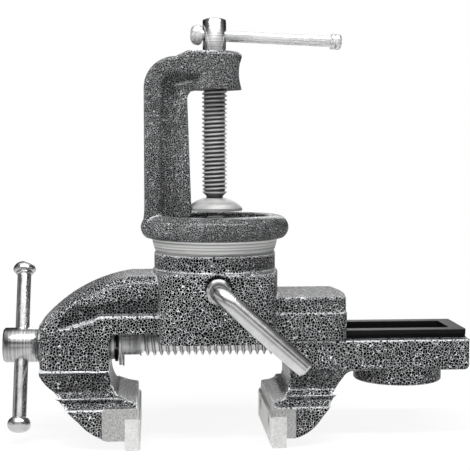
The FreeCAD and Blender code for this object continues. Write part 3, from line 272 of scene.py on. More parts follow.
# The strip does most of the work. The left lamp opens the shadows on the arm, the right one is so faint that
# its side stays darker, and the back one gives the far sides a rim of light.
soft_lamp("strip_lamp_over", (0.0, -0.42, 0.85), (0, 0, -0.04), 1.3, 0.1, 17.0, True)
soft_lamp("lamp_left", (-0.8, -0.6, 0.35), (0, 0, -0.04), 0.5, 0.5, 5.0, False)
soft_lamp("lamp_right", (0.85, -0.45, 0.25), (0.02, 0, -0.04), 0.4, 0.4, 0.3, False)
soft_lamp("lamp_back", (0.1, 0.9, 0.4), (0, 0, -0.03), 0.6, 0.6, 2.5, True)
print("lamps", len(bpy.data.lights))

# %% [markdown]
# ## Surfaces on a grid
#
# A turned, threaded or bent piece is a grid of points: one direction runs along the piece, the other round
# it. Blender has modifiers that screw or sweep a profile, but a grid of numpy arrays is exact, has no hidden
# settings, and one helper puts any such grid into a mesh.

# %% Grid to mesh
MERGE = 1e-6                # points nearer than this, in metres, are one


def linked(name, mesh):
    """A new object of that name for a mesh, linked to the scene."""
    piece = bpy.data.objects.new(name, mesh)
    bpy.context.scene.collection.objects.link(piece)
    return piece


def grid_piece(name, points, seam_joined=True):
    """Mesh of a grid points[row, column], with each end closed by a fan to its middle point.

    The last column is joined to the first, unless it already lies on it, as a thread's does.
    """
    rows, columns, _ = points.shape
    index = np.arange(rows * columns).reshape(rows, columns)
    if seam_joined:
        index = np.hstack([index, index[:, :1]])
    quads = np.stack([index[:-1, :-1], index[:-1, 1:], index[1:, 1:], index[1:, :-1]], -1).reshape(-1, 4)
    faces = quads.tolist()
    first_middle = rows * columns
    for row, middle in ((index[0, ::-1], first_middle), (index[-1], first_middle + 1)):
        faces += np.stack([np.full(len(row) - 1, middle), row[:-1], row[1:]], -1).tolist()
    vertices = np.vstack([points.reshape(-1, 3), points[0].mean(0), points[-1].mean(0)])
    mesh = bpy.data.meshes.new(name)
    mesh.from_pydata(vertices.tolist(), [], faces)
    mesh.validate()
    return linked(name, mesh)


def along(points, start, axis):
    """Points drawn about +Z, turned so that Z runs along axis, then moved to start. Units are metres."""
    turn = np.array(Vector((0, 0, 1)).rotation_difference(Vector(axis)).to_matrix())
    return points @ turn.T + np.array(start)


def facing_out(piece):
    """Merges doubles, then turns every face outwards."""
    work = bmesh.new()
    work.from_mesh(piece.data)
    bmesh.ops.remove_doubles(work, verts=work.verts, dist=MERGE)
    bmesh.ops.recalc_face_normals(work, faces=work.faces)
    work.to_mesh(piece.data)
    work.free()


def smooth(piece, angle):
    """Smooth shading, with edges sharper than the angle, in degrees, left crisp."""
    mesh = piece.data
    mesh.polygons.foreach_set("use_smooth", np.ones(len(mesh.polygons), dtype=bool))
    mesh.set_sharp_from_angle(angle=math.radians(angle))


# %% [markdown]
# ## Threads
#
# The lead screw has a coarse rounded thread, the clamp screw a finer one, and the draw bolt inside the ball
# a standard one. The solids hold them as plain rods. A thread could be faked with a bump pattern, but its
# outline would stay straight. Here the same rods get a true helix: every point's place along the rod moves on
# by one pitch in a turn, and its radius follows the section of one thread. The hub or eye at the end of each
# rod is cut from the solid and kept.

# %% Thread surface
CRISP = 40.0                # degrees: on a thread, only edges sharper than this stay crisp
SEAM = 0.2 * MM             # a thread and the solid that carries it lie this far inside each other


def thread_grid(length, pitch, section, run_out, columns):
    """Grid of a threaded rod along +Z from 0 to length, in metres.

    section is a list of (share of the pitch, radius). Row i sits at that share plus whole pitches, and is
    moved on by pitch * angle / (2 pi), then held between the rod's two ends. So its last column, a whole turn
    round, lies on the first column one pitch further on. Near an end the radius is held under the crest's
    radius, less run_out, plus the distance from the end, which bevels the first and last thread.
    """
    shares = np.array([share for share, _ in section])
    radii = np.array([radius for _, radius in section])
    turns = int(math.ceil(length / pitch)) + 1
    steps = (np.arange(-1, turns)[:, None] + shares[None, :]).ravel()
    angle = np.linspace(0.0, 2.0 * math.pi, columns + 1)
    z = pitch * (steps[:, None] + angle[None, :] / (2.0 * math.pi))
    held = np.clip(z, 0.0, length)
    radius = np.tile(radii, turns + 1)[:, None] + np.zeros_like(z)
    from_end = np.minimum(held, length - held)
    radius = np.minimum(radius, radii.max() - run_out + from_end)
    return np.stack([radius * np.cos(angle), radius * np.sin(angle), held], -1)


def threaded_rod(name, start, axis, length, pitch, section, run_out, columns=48):
    """A thread of that length, along axis from start. The other values are those of thread_grid."""
    points = along(thread_grid(length, pitch, section, run_out, columns), start, axis)
    rod = grid_piece(name, points, seam_joined=False)
    facing_out(rod)
    return rod


def kept_half(name, node, point, normal):
    """A copy of a node's solid, merged, with the side that normal points to cut away and the cut closed."""
    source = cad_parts[node]
    mesh = source.data.copy()
    mesh.transform(source.matrix_world)
    work = bmesh.new()
    work.from_mesh(mesh)
    bmesh.ops.remove_doubles(work, verts=work.verts, dist=MERGE)
    geometry = work.verts[:] + work.edges[:] + work.faces[:]
    cut = bmesh.ops.bisect_plane(work, geom=geometry, plane_co=point, plane_no=normal, clear_outer=True)
    rim = [part for part in cut["geom_cut"] if isinstance(part, bmesh.types.BMEdge)]
    bmesh.ops.edgeloop_fill(work, edges=rim)
    bmesh.ops.recalc_face_normals(work, faces=work.faces)
    work.to_mesh(mesh)
    work.free()
    return linked(name, mesh)


def joined(name, *pieces):
    """Puts several meshes into one object called name."""
    work = bmesh.new()
    for piece in pieces:
        work.from_mesh(piece.data)
    mesh = bpy.data.meshes.new(name)
    work.to_mesh(mesh)
    work.free()
    for piece in pieces:
        bpy.data.objects.remove(piece)
    return linked(name, mesh)


# %% [markdown]
# ## Lead screw
#
# The lead screw draws the moving jaw in and pushes it out. Its thread has rounded crests and two flanks
# alike, so one flank is drawn from crest to root, and the other mirrors it.

# %% Lead screw
screw_low, screw_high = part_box("lead_screw")
SCREW_HEIGHT = (screw_low[2] + screw_high[2]) / 2
LEAD_START, LEAD_END = -43.0 * MM, screw_high[0]
LEAD_PITCH = 4.0 * MM
LEAD_RUN_OUT = 2.4 * MM
LEAD_CREST, LEAD_ROOT = 7.4 * MM, 4.7 * MM
lead_flank = [(0.0, LEAD_CREST), (0.07, 7.25 * MM), (0.14, 6.8 * MM), (0.24, 5.7 * MM), (0.34, 5.0 * MM)]
other_flank = [(1.0 - share, radius) for share, radius in reversed(lead_flank[1:])]
lead_thread = threaded_rod(
    "lead_thread", (LEAD_START, 0, SCREW_HEIGHT), (1, 0, 0), LEAD_END - LEAD_START,
    LEAD_PITCH, lead_flank + [(0.5, LEAD_ROOT)] + other_flank, LEAD_RUN_OUT)
lead_hub = kept_half("lead_hub", "lead_screw", (LEAD_START + SEAM, 0, 0), (1, 0, 0))
lead_screw_piece = joined("lead_screw_threaded", lead_hub, lead_thread)
smooth(lead_screw_piece, CRISP)
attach(lead_screw_piece, "lead_screw")
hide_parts("lead_screw")
print("lead screw faces", len(lead_screw_piece.data.polygons))

# %% [markdown]
# ## Clamp screw
#
# The clamp screw presses the pad against the bench. Its thread has flat crests, and one flank slopes more
# gently than the other. It ends in a neck below, which carries the pad, and in a hub above, which holds the
# sliding bar. Both are kept from the solid.

# %% Clamp screw
BOSS_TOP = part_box("clamp_base")[1][2]
THREAD_FOOT, THREAD_TOP = 13.3 * MM, BOSS_TOP + 0.3 * MM
CLAMP_PITCH = 2.4 * MM
CLAMP_RUN_OUT = 1.8 * MM
CLAMP_CREST, CLAMP_ROOT = 7.3 * MM, 5.9 * MM
clamp_section = [
    (0.0, CLAMP_CREST), (0.14, CLAMP_CREST), (0.3, 6.75 * MM), (0.5, 6.05 * MM),
    (0.58, CLAMP_ROOT), (0.7, 5.95 * MM), (0.86, 6.7 * MM),
]
clamp_thread = threaded_rod(
    "clamp_thread", (0, 0, THREAD_FOOT), (0, 0, 1), THREAD_TOP - THREAD_FOOT,
    CLAMP_PITCH, clamp_section, CLAMP_RUN_OUT)
clamp_hub = kept_half("clamp_hub", "clamp_screw", (0, 0, THREAD_TOP - SEAM / 2), (0, 0, -1))
clamp_neck = kept_half("clamp_neck", "clamp_screw", (0, 0, THREAD_FOOT + SEAM), (0, 0, 1))
clamp_screw_piece = joined("clamp_screw_threaded", clamp_hub, clamp_thread, clamp_neck)
smooth(clamp_screw_piece, CRISP)
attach(clamp_screw_piece, "clamp_screw")
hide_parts("clamp_screw")
print("clamp screw faces", len(clamp_screw_piece.data.polygons))

# %% [markdown]
# ## Draw bolt
#
# The draw bolt locks the ball: the lever's eccentric turns in its eye and pulls the nut and the dished
# washers onto the socket. Its thread is seen only from above, through the ring, so a common fine thread with
# fewer points round it is enough.

# %% Draw bolt
BOLT_FROM, BOLT_TO = -20.0 * MM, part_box("draw_bolt")[1][2]
BOLT_PITCH = 1.5 * MM
BOLT_RUN_OUT = 0.9 * MM
BOLT_CREST, BOLT_ROOT = 5.0 * MM, 4.15 * MM
BOLT_COLUMNS = 36
bolt_section = [(0.0, BOLT_CREST), (0.12, BOLT_CREST), (0.5, BOLT_ROOT), (0.62, BOLT_ROOT)]
bolt_thread = threaded_rod(
    "bolt_thread", (0, 0, BOLT_FROM), (0, 0, 1), BOLT_TO - BOLT_FROM,
    BOLT_PITCH, bolt_section, BOLT_RUN_OUT, BOLT_COLUMNS)
bolt_eye = kept_half("bolt_eye", "draw_bolt", (0, 0, BOLT_FROM + SEAM), (0, 0, 1))
draw_bolt_piece = joined("draw_bolt_threaded", bolt_eye, bolt_thread)
smooth(draw_bolt_piece, CRISP)
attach(draw_bolt_piece, "draw")
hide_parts("draw_bolt")
print("draw bolt faces", len(draw_bolt_piece.data.polygons))

# %% [markdown]
# ## Spring washer
#
# A spring washer is one turn of square wire whose ends stand apart, so that it pushes back when it is pressed
# flat. A flat ring with a slot would miss the step between its ends. So a square section is carried round the
# screw and moved along it as it goes, and a small bevel rounds the wire's edges.

# %% Spring washer
SPRING_INNER, SPRING_OUTER = 6.6 * MM, 10.2 * MM
SPRING_WIRE = 1.7 * MM
SPRING_FROM, SPRING_TO = 200.0, 543.0       # degrees: the ends stand 17 degrees apart
SPRING_ROWS = 90
SPRING_EDGE = 0.2 * MM

spring_low, spring_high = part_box("spring_washer")
angle = np.radians(np.linspace(SPRING_FROM, SPRING_TO, SPRING_ROWS))[:, None]
shift = np.linspace(spring_low[0], spring_high[0] - SPRING_WIRE, SPRING_ROWS)[:, None]
outwards = np.array([SPRING_INNER, SPRING_OUTER, SPRING_OUTER, SPRING_INNER])
across = np.array([0.0, 0.0, SPRING_WIRE, SPRING_WIRE])
spring = np.stack([shift + across, np.cos(angle) * outwards, SCREW_HEIGHT + np.sin(angle) * outwards], -1)
spring_piece = grid_piece("spring_washer_coil", spring)
facing_out(spring_piece)
edge_round = spring_piece.modifiers.new("edges", "BEVEL")
edge_round.width = SPRING_EDGE
edge_round.segments = 2
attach(spring_piece, "lead_screw")
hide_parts("spring_washer")
print("spring washer faces", len(spring_piece.data.polygons))

# %% [markdown]
# ## Split pin
#
# A split pin keeps the washers on the lead screw. It is wire doubled back on itself: an eye above the screw's
# shank, and two legs through it, one of them bent aside below. The path is one straight leg, nearly a whole
# circle and the other leg with its bend, and a round section is carried along it. A real pin's wire is half
# round, but the two legs lie against each other inside the shank, where the flat sides don't show.

# %% Split pin
PIN_WIRE, PIN_EYE, PIN_SPREAD = 0.6 * MM, 1.95 * MM, 0.33 * MM     # radii, and half the legs' distance
SHANK_RADIUS = 6.5 * MM
LEG_BEND = (0.0, 2.3 * MM, -4.2 * MM)       # from the bend to the short leg's foot
EYE_FROM, EYE_TO = 260.0, -80.0             # degrees
LEG_ROWS, EYE_ROWS, WIRE_COLUMNS = 14, 48, 16
PIN_CRISP = 60.0


def wire_grid(path, radius):
    """Grid of a round wire along a path.

    Each row is a circle of that radius, square to the path's run. Its first direction is that run crossed
    with a fixed one, so the wire doesn't twist.
    """
    run = np.gradient(path, axis=0)
    run /= np.linalg.norm(run, axis=1)[:, None]
    first = np.cross(run, np.array([1.0, 0.0, 0.02]))
    first /= np.linalg.norm(first, axis=1)[:, None]
    second = np.cross(run, first)
    angle = np.linspace(0.0, 2.0 * math.pi, WIRE_COLUMNS, endpoint=False)[None, :, None]
    return path[:, None] + radius * (first[:, None] * np.cos(angle) + second[:, None] * np.sin(angle))


pin_low, pin_high = [np.array(corner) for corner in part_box("split_pin")]
pin_x = (pin_low[0] + pin_high[0]) / 2
eye_middle = pin_high[2] - PIN_EYE - PIN_WIRE
angle = np.radians(np.linspace(EYE_FROM, EYE_TO, EYE_ROWS))
eye = np.stack([0 * angle + pin_x, PIN_EYE * np.cos(angle), eye_middle + PIN_EYE * np.sin(angle)], -1)
long_foot = np.array([pin_x, -PIN_SPREAD, pin_low[2] + PIN_WIRE])
short_start = np.array([pin_x, PIN_SPREAD, SCREW_HEIGHT - SHANK_RADIUS])
step = np.linspace(0.0, 1.0, LEG_ROWS)[:, None]
pin_path = np.vstack([
    long_foot + (eye[0] - long_foot) * step[:-1],
    eye,
    eye[-1] + (short_start - eye[-1]) * step[1:-1],
    short_start + np.array(LEG_BEND) * step,
])
pin_piece = grid_piece("split_pin_wire", wire_grid(pin_path, PIN_WIRE))
facing_out(pin_piece)
smooth(pin_piece, PIN_CRISP)
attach(pin_piece, "lead_screw")
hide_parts("split_pin")
print("split pin faces", len(pin_piece.data.polygons))

# %% [markdown]
# ## Hammertone enamel
#
# The castings are coated in hammertone enamel: aluminium flake in a varnish that draws apart as it dries, so
# that pale ridges run round dark pits about a millimetre and a half apart. An image could carry that pattern,
# but it would need unwrapping and would show its seams. A cell pattern in the solid's own coordinates has
# none: it is dark inside each cell and pale along the walls between cells. On edges that face up and along a
# crease, the pits shrink to dots, which paints a highlight there.
#
# Where a tool has cut the casting after painting, on the jaws, the anvil and the ring, the iron is bare and
# shows the tool's marks. The sliding ways are only oiled, and nearly black; the socket and the screw's trough
# are nearly black too. These places are simple regions between flat faces, so a mask for each is worked out
# from the coordinates.

# %% Material helpers
EDGE_SAMPLES = 6            # rays that a rounded normal is averaged over


def new_material(name):
    """A new material's tree and its shader."""
    material = bpy.data.materials.new(name)
    material.use_nodes = True
    tree = material.node_tree
    tree.nodes.clear()
    shader = add_node(tree, "ShaderNodeBsdfPrincipled")
    add_node(tree, "ShaderNodeOutputMaterial", i0=shader)
    return material, tree, shader


def marks(tree, sizes, detail):
    """A noise from 0 to 1 whose marks have those sizes along X, Y and Z, in millimetres.

    Coordinates in metres are multiplied by 1 / size, so that one mark is one unit of the noise. A large size
    beside small ones draws the marks out along that axis. detail is how many times finer marks are added.
    Most values lie between 0.3 and 0.7.
    """
    scale = tuple(1.0 / (size * MM) for size in sizes)
    place = add_node(tree, "ShaderNodeTexCoord").outputs["Object"]
    stretched = add_node(tree, "ShaderNodeMapping", {"Scale": scale}, i0=place)
    return add_node(tree, "ShaderNodeTexNoise", {"Scale": 1.0, "Detail": detail}, Vector=stretched)


def bump(tree, shader, height, depth, strength, edge=None):
    """Relief from a height of 0 to 1 and a depth in metres, over edges rounded by a radius, if given."""
    relief = add_node(tree, "ShaderNodeBump", {"Strength": strength, "Distance": depth}, Height=height)
    if edge:
        rounded = add_node(tree, "ShaderNodeBevel", {"samples": EDGE_SAMPLES, "Radius": edge})
        tree.links.new(rounded.outputs[0], relief.inputs["Normal"])
    tree.links.new(relief.outputs[0], shader.inputs["Normal"])


# %% Where a highlight is painted on edges
HIGHLIGHT_EDGE_RADIUS = 2.6 * MM                        # an upper edge gets a painted highlight about this far in
EDGE_STOPS = ((0.88, 1.0), (0.98, 0.0))     # an edge turns the normal by 28 degrees, a flat face by under 11
UP_STOPS = ((0.2, 0.0), (0.55, 1.0))        # against how far the rounded normal points up


def upward_edge_highlight(tree):
    """1 along edges that face upwards and 0 elsewhere.

    It is how much a rounding of the edge's radius turns the surface, times how far up that then faces. It
    marks where a highlight is painted.
    """
    rounded = add_node(tree, "ShaderNodeBevel", {"samples": EDGE_SAMPLES, "Radius": HIGHLIGHT_EDGE_RADIUS})
    flat = add_node(tree, "ShaderNodeNewGeometry").outputs["Normal"]
    alike = add_node(tree, "ShaderNodeVectorMath", {"operation": "DOT_PRODUCT"}, i0=rounded, i1=flat)
    edge = add_node(tree, "ShaderNodeValToRGB", {"stops": EDGE_STOPS}, i0=alike.outputs["Value"])
    upright = add_node(tree, "ShaderNodeSeparateXYZ", i0=rounded).outputs[2]
    upwards = add_node(tree, "ShaderNodeValToRGB", {"stops": UP_STOPS}, i0=upright)
    return combined(tree, "MULTIPLY", [edge, upwards])


# %% Pits in the enamel
WALL_SHARE, WALL_BEND = 0.7, 0.8            # in cells: the bends of a wall, how close and how far
PIT_STOPS = ((0.008, 0.0), (0.045, 1.0))    # in cells from the wall: where the ridge ends and the pit begins
HIGHLIGHT_PIT_SHRINK = -0.19                            # in cells: what a pit loses under a painted highlight
HIGHLIGHT_CREASE_REACH = 0.9 * MM                      # the painted highlight reaches this far up and down from a crease


def enamel_pits(tree, position, pitch, highlight_crease):
    """1 in the dark pits of the enamel and 0 on its ridges, the walls between cells the pitch apart.

    A noise shifts the coordinates by part of a cell first, so that the walls aren't straight. Along upper
    edges, and along a level line if its height is given, the pits shrink to dots, which paints a highlight
    there.
    """
    noise = {"Scale": WALL_SHARE / pitch, "Detail": 1.0}
    bend = add_node(tree, "ShaderNodeTexNoise", noise, Vector=position)
    shift = {"operation": "MULTIPLY_ADD", 1: (WALL_BEND * pitch,) * 3}
    bent = add_node(tree, "ShaderNodeVectorMath", shift, i0=bend.outputs["Color"], i2=position)
    cells = {"feature": "DISTANCE_TO_EDGE", "Scale": 1.0 / pitch}
    from_wall = add_node(tree, "ShaderNodeTexVoronoi", cells, Vector=bent).outputs["Distance"]
    # the painted highlight: pits shrink to dots along upward-facing edges and along the crease
    painted_highlight = upward_edge_highlight(tree)
    if highlight_crease:
        level = add_node(tree, "ShaderNodeSeparateXYZ", i0=position).outputs[2]
        near = {"operation": "COMPARE", 1: highlight_crease, 2: HIGHLIGHT_CREASE_REACH}
        painted_highlight = combined(tree, "MAXIMUM", [painted_highlight, add_node(tree, "ShaderNodeMath", near, i0=level)])
    shrink = {"operation": "MULTIPLY_ADD", 1: HIGHLIGHT_PIT_SHRINK}
    shrunk = add_node(tree, "ShaderNodeMath", shrink, i0=painted_highlight, i2=from_wall)
    return add_node(tree, "ShaderNodeValToRGB", {"stops": PIT_STOPS}, i0=shrunk)


# %% Regions without paint
REGION_FADE = 0.05 * MM     # half the width over which a region's face fades


def region(tree, position, low, high, radius=None):
    """1 between two corners in metres and, if a radius is given, that near the swivel axis; 0 elsewhere.

    Each face is a ramp from 0 to 1 across it, and the region is their product. A face at None is left out.
    """
    axes = add_node(tree, "ShaderNodeSeparateXYZ", i0=position).outputs
    sides = []
    for axis in range(3):
        for face, inwards in ((low[axis], 1.0), (high[axis], -1.0)):
            if face is not None:
                fade = {1: face - inwards * REGION_FADE, 2: face + inwards * REGION_FADE}
                sides.append(add_node(tree, "ShaderNodeMapRange", fade, i0=axes[axis]))
    if radius:
        level = {"operation": "MULTIPLY", 1: (1.0, 1.0, 0.0)}
        flat = add_node(tree, "ShaderNodeVectorMath", level, i0=position)
        away = add_node(tree, "ShaderNodeVectorMath", {"operation": "LENGTH"}, i0=flat).outputs["Value"]
        sides.append(add_node(tree, "ShaderNodeMath", {"operation": "LESS_THAN", 1: radius}, i0=away))
    return combined(tree, "MULTIPLY", sides)


# %% Painted casting
PIT_GREY = "#060607"
PATCH = 11.1                # mm: size of the patches over which the ridges' grey drifts
PAINT_GLOSS = 0.22          # specular level: the flake scatters what the varnish would mirror
PAINT_ROUGH, IRON_ROUGH = 0.2, 0.42
RELIEF = 0.06 * MM          # depth of the enamel's pits
RELIEF_STRENGTH = 0.8
IRON_RELIEF = 0.15          # the tool marks' share of it
SOFT_EDGE = 0.9 * MM        # the casting's edges are rounded by this
NEAR_BLACK_GREYS = ("#060606", "#101011")


def casting(name, bare, black=(), highlight_crease=None, pitch=1.5 * MM, ridge_greys=("#d2d4d6", "#f0f2f4"),
            tool_path=(0.625, 3.33, 1.43), iron_greys=("#8e8e8d", "#b8b8b6"), mirror=0.45):
    """Cast iron in hammertone enamel, milled inside the bare regions and oiled black inside the black ones.

    A region is two corners, with a radius after them for a round one. A level height, if given, marks a line
    along which a highlight is painted by shrinking the pits. tool_path holds the sizes of the tool's marks
    along X, Y and Z in millimetres, and mirror is the bare iron's share of mirror-like reflection.
    """
    material, tree, shader = new_material(name)
    position = add_node(tree, "ShaderNodeTexCoord").outputs["Object"]
    pits = enamel_pits(tree, position, pitch, highlight_crease)
    drift = {"stops": ((0.3, ridge_greys[0]), (0.7, ridge_greys[1]))}
    ridge = add_node(tree, "ShaderNodeValToRGB", drift, i0=marks(tree, (PATCH, PATCH, PATCH), 2.0))
    colours = {"data_type": "RGBA"}
    dark = {"data_type": "RGBA", 7: linear(PIT_GREY)}
    colour = add_node(tree, "ShaderNodeMix", dark, i0=pits, i6=ridge).outputs[2]

    milled = marks(tree, tool_path, 4.0)
    greys = {"stops": ((0.38, iron_greys[0]), (0.62, iron_greys[1]))}
    iron = add_node(tree, "ShaderNodeValToRGB", greys, i0=milled)
    unpainted = combined(tree, "MAXIMUM", [region(tree, position, *corners) for corners in bare])
    colour = add_node(tree, "ShaderNodeMix", colours, i0=unpainted, i6=colour, i7=iron).outputs[2]
    metallic = add_node(tree, "ShaderNodeMath", {"operation": "MULTIPLY", 1: mirror}, i0=unpainted)
    if black:
        # the slide, the socket and the trough are made nearly black
        oiled = combined(tree, "MAXIMUM", [region(tree, position, *corners) for corners in black])
        greys = {"stops": ((0.4, NEAR_BLACK_GREYS[0]), (0.7, NEAR_BLACK_GREYS[1]))}
        oil = add_node(tree, "ShaderNodeValToRGB", greys, i0=milled)
        colour = add_node(tree, "ShaderNodeMix", colours, i0=oiled, i6=colour, i7=oil).outputs[2]
        unpainted = combined(tree, "MAXIMUM", [unpainted, oiled])
    roughs = {"data_type": "FLOAT", 2: PAINT_ROUGH, 3: IRON_ROUGH}
    rough = add_node(tree, "ShaderNodeMix", roughs, i0=unpainted)

    painted = add_node(tree, "ShaderNodeMath", {"operation": "SUBTRACT", 0: 1.0}, i1=unpainted)
    sunk = combined(tree, "MULTIPLY", [painted, pits])
    scored = combined(tree, "MULTIPLY", [unpainted, milled])
    raised = add_node(tree, "ShaderNodeMath", {"operation": "MULTIPLY", 1: IRON_RELIEF}, i0=scored)
    bump(tree, shader, combined(tree, "SUBTRACT", [raised, sunk]), RELIEF, RELIEF_STRENGTH, SOFT_EDGE)
    shader.inputs["Specular IOR Level"].default_value = PAINT_GLOSS
    tree.links.new(colour, shader.inputs["Base Color"])
    tree.links.new(metallic.outputs[0], shader.inputs["Metallic"])
    tree.links.new(rough.outputs[0], shader.inputs["Roughness"])
    return material


# %% Vise body
FOOT = -130.0 * MM                              # below everything
PAD_INNER = 39.2 * MM                           # the milled pads begin this far from the middle
SEAT_TOP = -103.0 * MM                          # top of the milled seats behind the jaw plates
FIXED_PAD, FIXED_PAD_TOP = (-64.8 * MM, -44.0 * MM), -104.85 * MM
FIXED_SEAT = (-45.2 * MM, -44.0 * MM)
JAW_STEP = -86.7 * MM                           # the arm's full width ends here, in a crease


def jaw_iron(pad, pad_top, seat):
    """The milled regions of a jaw: a pad at each of its two ends, and the seat of its plate between them."""
    return [
        ((pad[0], PAD_INNER, FOOT), (pad[1], None, pad_top)),
        ((pad[0], None, FOOT), (pad[1], -PAD_INNER, pad_top)),
        ((seat[0], None, FOOT), (seat[1], None, SEAT_TOP)),
    ]


# Enamel with open black pits, a dotted painted highlight along the crease under the arm, and satin iron on the
# jaw.
body_iron = jaw_iron(FIXED_PAD, FIXED_PAD_TOP, FIXED_SEAT)
body_enamel = casting("hammertone_enamel_body", body_iron, highlight_crease=JAW_STEP)
print("nodes in the body's enamel", len(body_enamel.node_tree.nodes))

# %% Moving jaw
MOVING_PAD, MOVING_PAD_TOP = (30.0 * MM, 43.5 * MM), -106.25 * MM
MOVING_SEAT = (30.0 * MM, 31.1 * MM)
ANVIL_FROM, ANVIL_FACE = 80.0 * MM, -96.9 * MM
SLIDE_FROM, SLIDE_FOOT = 41.0 * MM, -70.6 * MM
TROUGH_FROM, TROUGH_TO, TROUGH_FLOOR = 57.0 * MM, 137.0 * MM, -84.8 * MM
TROUGH_HALF = 13.4 * MM

# The same enamel and iron, a bare anvil, an oily black slide, and the screw's trough in it, nearly black down
# to its floor.
anvil = ((ANVIL_FROM, None, FOOT), (None, None, ANVIL_FACE))
slide = ((SLIDE_FROM, None, SLIDE_FOOT), (None, None, None))
trough = ((TROUGH_FROM, -TROUGH_HALF, TROUGH_FLOOR), (TROUGH_TO, TROUGH_HALF, None))
moving_iron = jaw_iron(MOVING_PAD, MOVING_PAD_TOP, MOVING_SEAT) + [anvil]
jaw_enamel = casting("hammertone_enamel_jaw", moving_iron, [slide, trough])
print("nodes in the moving jaw's enamel", len(jaw_enamel.node_tree.nodes))

# %% Clamp base
TURNED_TOP = -13.4 * MM
SOCKET_RADIUS, SOCKET_FROM, SOCKET_TO = 31.9 * MM, -16.1 * MM, -0.4 * MM
BASE_PITCH = 1.0 * MM

# A smaller casting with finer and greyer enamel. The foot of its ring is turned, which leaves bright lines
# round it, long in X and Y and fine in Z. The socket inside the ring is nearly black.
turned_ring = ((None, None, None), (None, None, TURNED_TOP))
socket = ((None, None, SOCKET_FROM), (None, None, SOCKET_TO), SOCKET_RADIUS)
base_enamel = casting(
    "hammertone_enamel_base", [turned_ring], [socket],
    pitch=BASE_PITCH,
    ridge_greys=("#c6c8ca", "#e6e8ea"),
    tool_path=(333.0, 333.0, 1.11),
    iron_greys=("#8a8a89", "#ececea"),
    mirror=0.35,
)
print("nodes in the clamp base's enamel", len(base_enamel.node_tree.nodes))

# %% [markdown]
# ## Bright metal
#
# Bars, hubs and washers are turned or drawn steel under bright zinc plate, and the jaw plates are ground. All
# are mirrors with a grain: the tool leaves fine lines along its path. A plain grey mirror would look like
# chrome, so two greys are mixed by a noise drawn out along that path, which also varies the roughness and
# scores the surface. Real tool marks are too fine to show at this size, so the lines are drawn coarser. On a
# screw the grey follows the radius instead, which paints the thread's highlights and shade onto it.

# %% Metal
CLOUD = 6.25                # mm: size of the faint patches in a plated surface
CLOUD_SHARE = 0.3           # their part in the mix with the tool's lines
SMOOTHEST, ROUGHEST = 0.8, 1.35     # times the metal's roughness
SCORE_DEPTH = 0.02 * MM
SCORE_STRENGTH = 0.12
SCREW_MIRROR = 0.6


def bright_metal(name, pale, dark, roughness, grain, mirror=1.0):
    """Plated or machined metal of two greys, with marks whose sizes along X, Y and Z are the grain, in mm.

    mirror is the share of the reflection that is mirror-like; the rest is a plain grey that softens it.
    """
    material, tree, shader = new_material(name)
    shader.inputs["Metallic"].default_value = mirror
    lines = marks(tree, grain, 3.0)
    cloud = marks(tree, (CLOUD, CLOUD, CLOUD), 2.0)
    both = add_node(tree, "ShaderNodeMix", {"data_type": "FLOAT", 0: CLOUD_SHARE}, i2=lines, i3=cloud)
    grey = add_node(tree, "ShaderNodeValToRGB", {"stops": ((0.35, dark), (0.65, pale))}, i0=both)
    spread = {1: 0.3, 2: 0.7, 3: roughness * SMOOTHEST, 4: roughness * ROUGHEST}
    rough = add_node(tree, "ShaderNodeMapRange", spread, i0=both)
    tree.links.new(grey.outputs[0], shader.inputs["Base Color"])
    tree.links.new(rough.outputs[0], shader.inputs["Roughness"])
    bump(tree, shader, lines, SCORE_DEPTH, SCORE_STRENGTH)
    return material


def radius_shaded_metal(name, centre, across, root, crest, greys, roughness):
    """A thread whose grey follows its radius about an axis, by evenly spaced greys from root to crest.

    The axis runs through centre, and across is 1 on the two axes that the radius is measured along. The greys
    paint the thread's highlights and shade.
    """
    material, tree, shader = new_material(name)
    shader.inputs["Metallic"].default_value = SCREW_MIRROR
    shader.inputs["Roughness"].default_value = roughness
    place = add_node(tree, "ShaderNodeTexCoord").outputs["Object"]
    away = add_node(tree, "ShaderNodeVectorMath", {"operation": "SUBTRACT", 1: centre}, i0=place)
    away = add_node(tree, "ShaderNodeVectorMath", {"operation": "MULTIPLY", 1: across}, i0=away)
    radius = add_node(tree, "ShaderNodeVectorMath", {"operation": "LENGTH"}, i0=away).outputs["Value"]
    share = add_node(tree, "ShaderNodeMapRange", {1: root, 2: crest}, i0=radius)
    stops = tuple(zip(np.linspace(0.0, 1.0, len(greys)).tolist(), greys))
    grey = add_node(tree, "ShaderNodeValToRGB", {"stops": stops}, i0=share)
    tree.links.new(grey.outputs[0], shader.inputs["Base Color"])
    return material


# %% Plated pieces
# Sizes in millimetres of a turning tool's marks and of a drawing die's: across the lines, and along them.
TURN_ACROSS, TURN_ALONG = 0.556, 125.0
DRAW_ACROSS, DRAW_ALONG = 2.0, 33.3

# Zinc plate over drawn bar: smooth, and streaked along the bar. The main bar leans, and streaks straight up
# are near enough.
clamp_bar_plate = bright_metal("bright_zinc_plate_drawn_x", "#ececec", "#d4d4d5", 0.26,
                               (DRAW_ALONG, DRAW_ACROSS, DRAW_ACROSS), 0.65)
main_bar_plate = bright_metal("bright_zinc_plate_drawn_z", "#e0e0e0", "#c8c8c9", 0.24,
                              (DRAW_ACROSS, DRAW_ACROSS, DRAW_ALONG))
# Zinc plate over a bent rod: the bend broke the streaks up, and it is the brightest piece.
lever_plate = bright_metal("bright_zinc_plate_bent", "#ececec", "#d6d6d7", 0.2, (8.33, 8.33, 8.33))
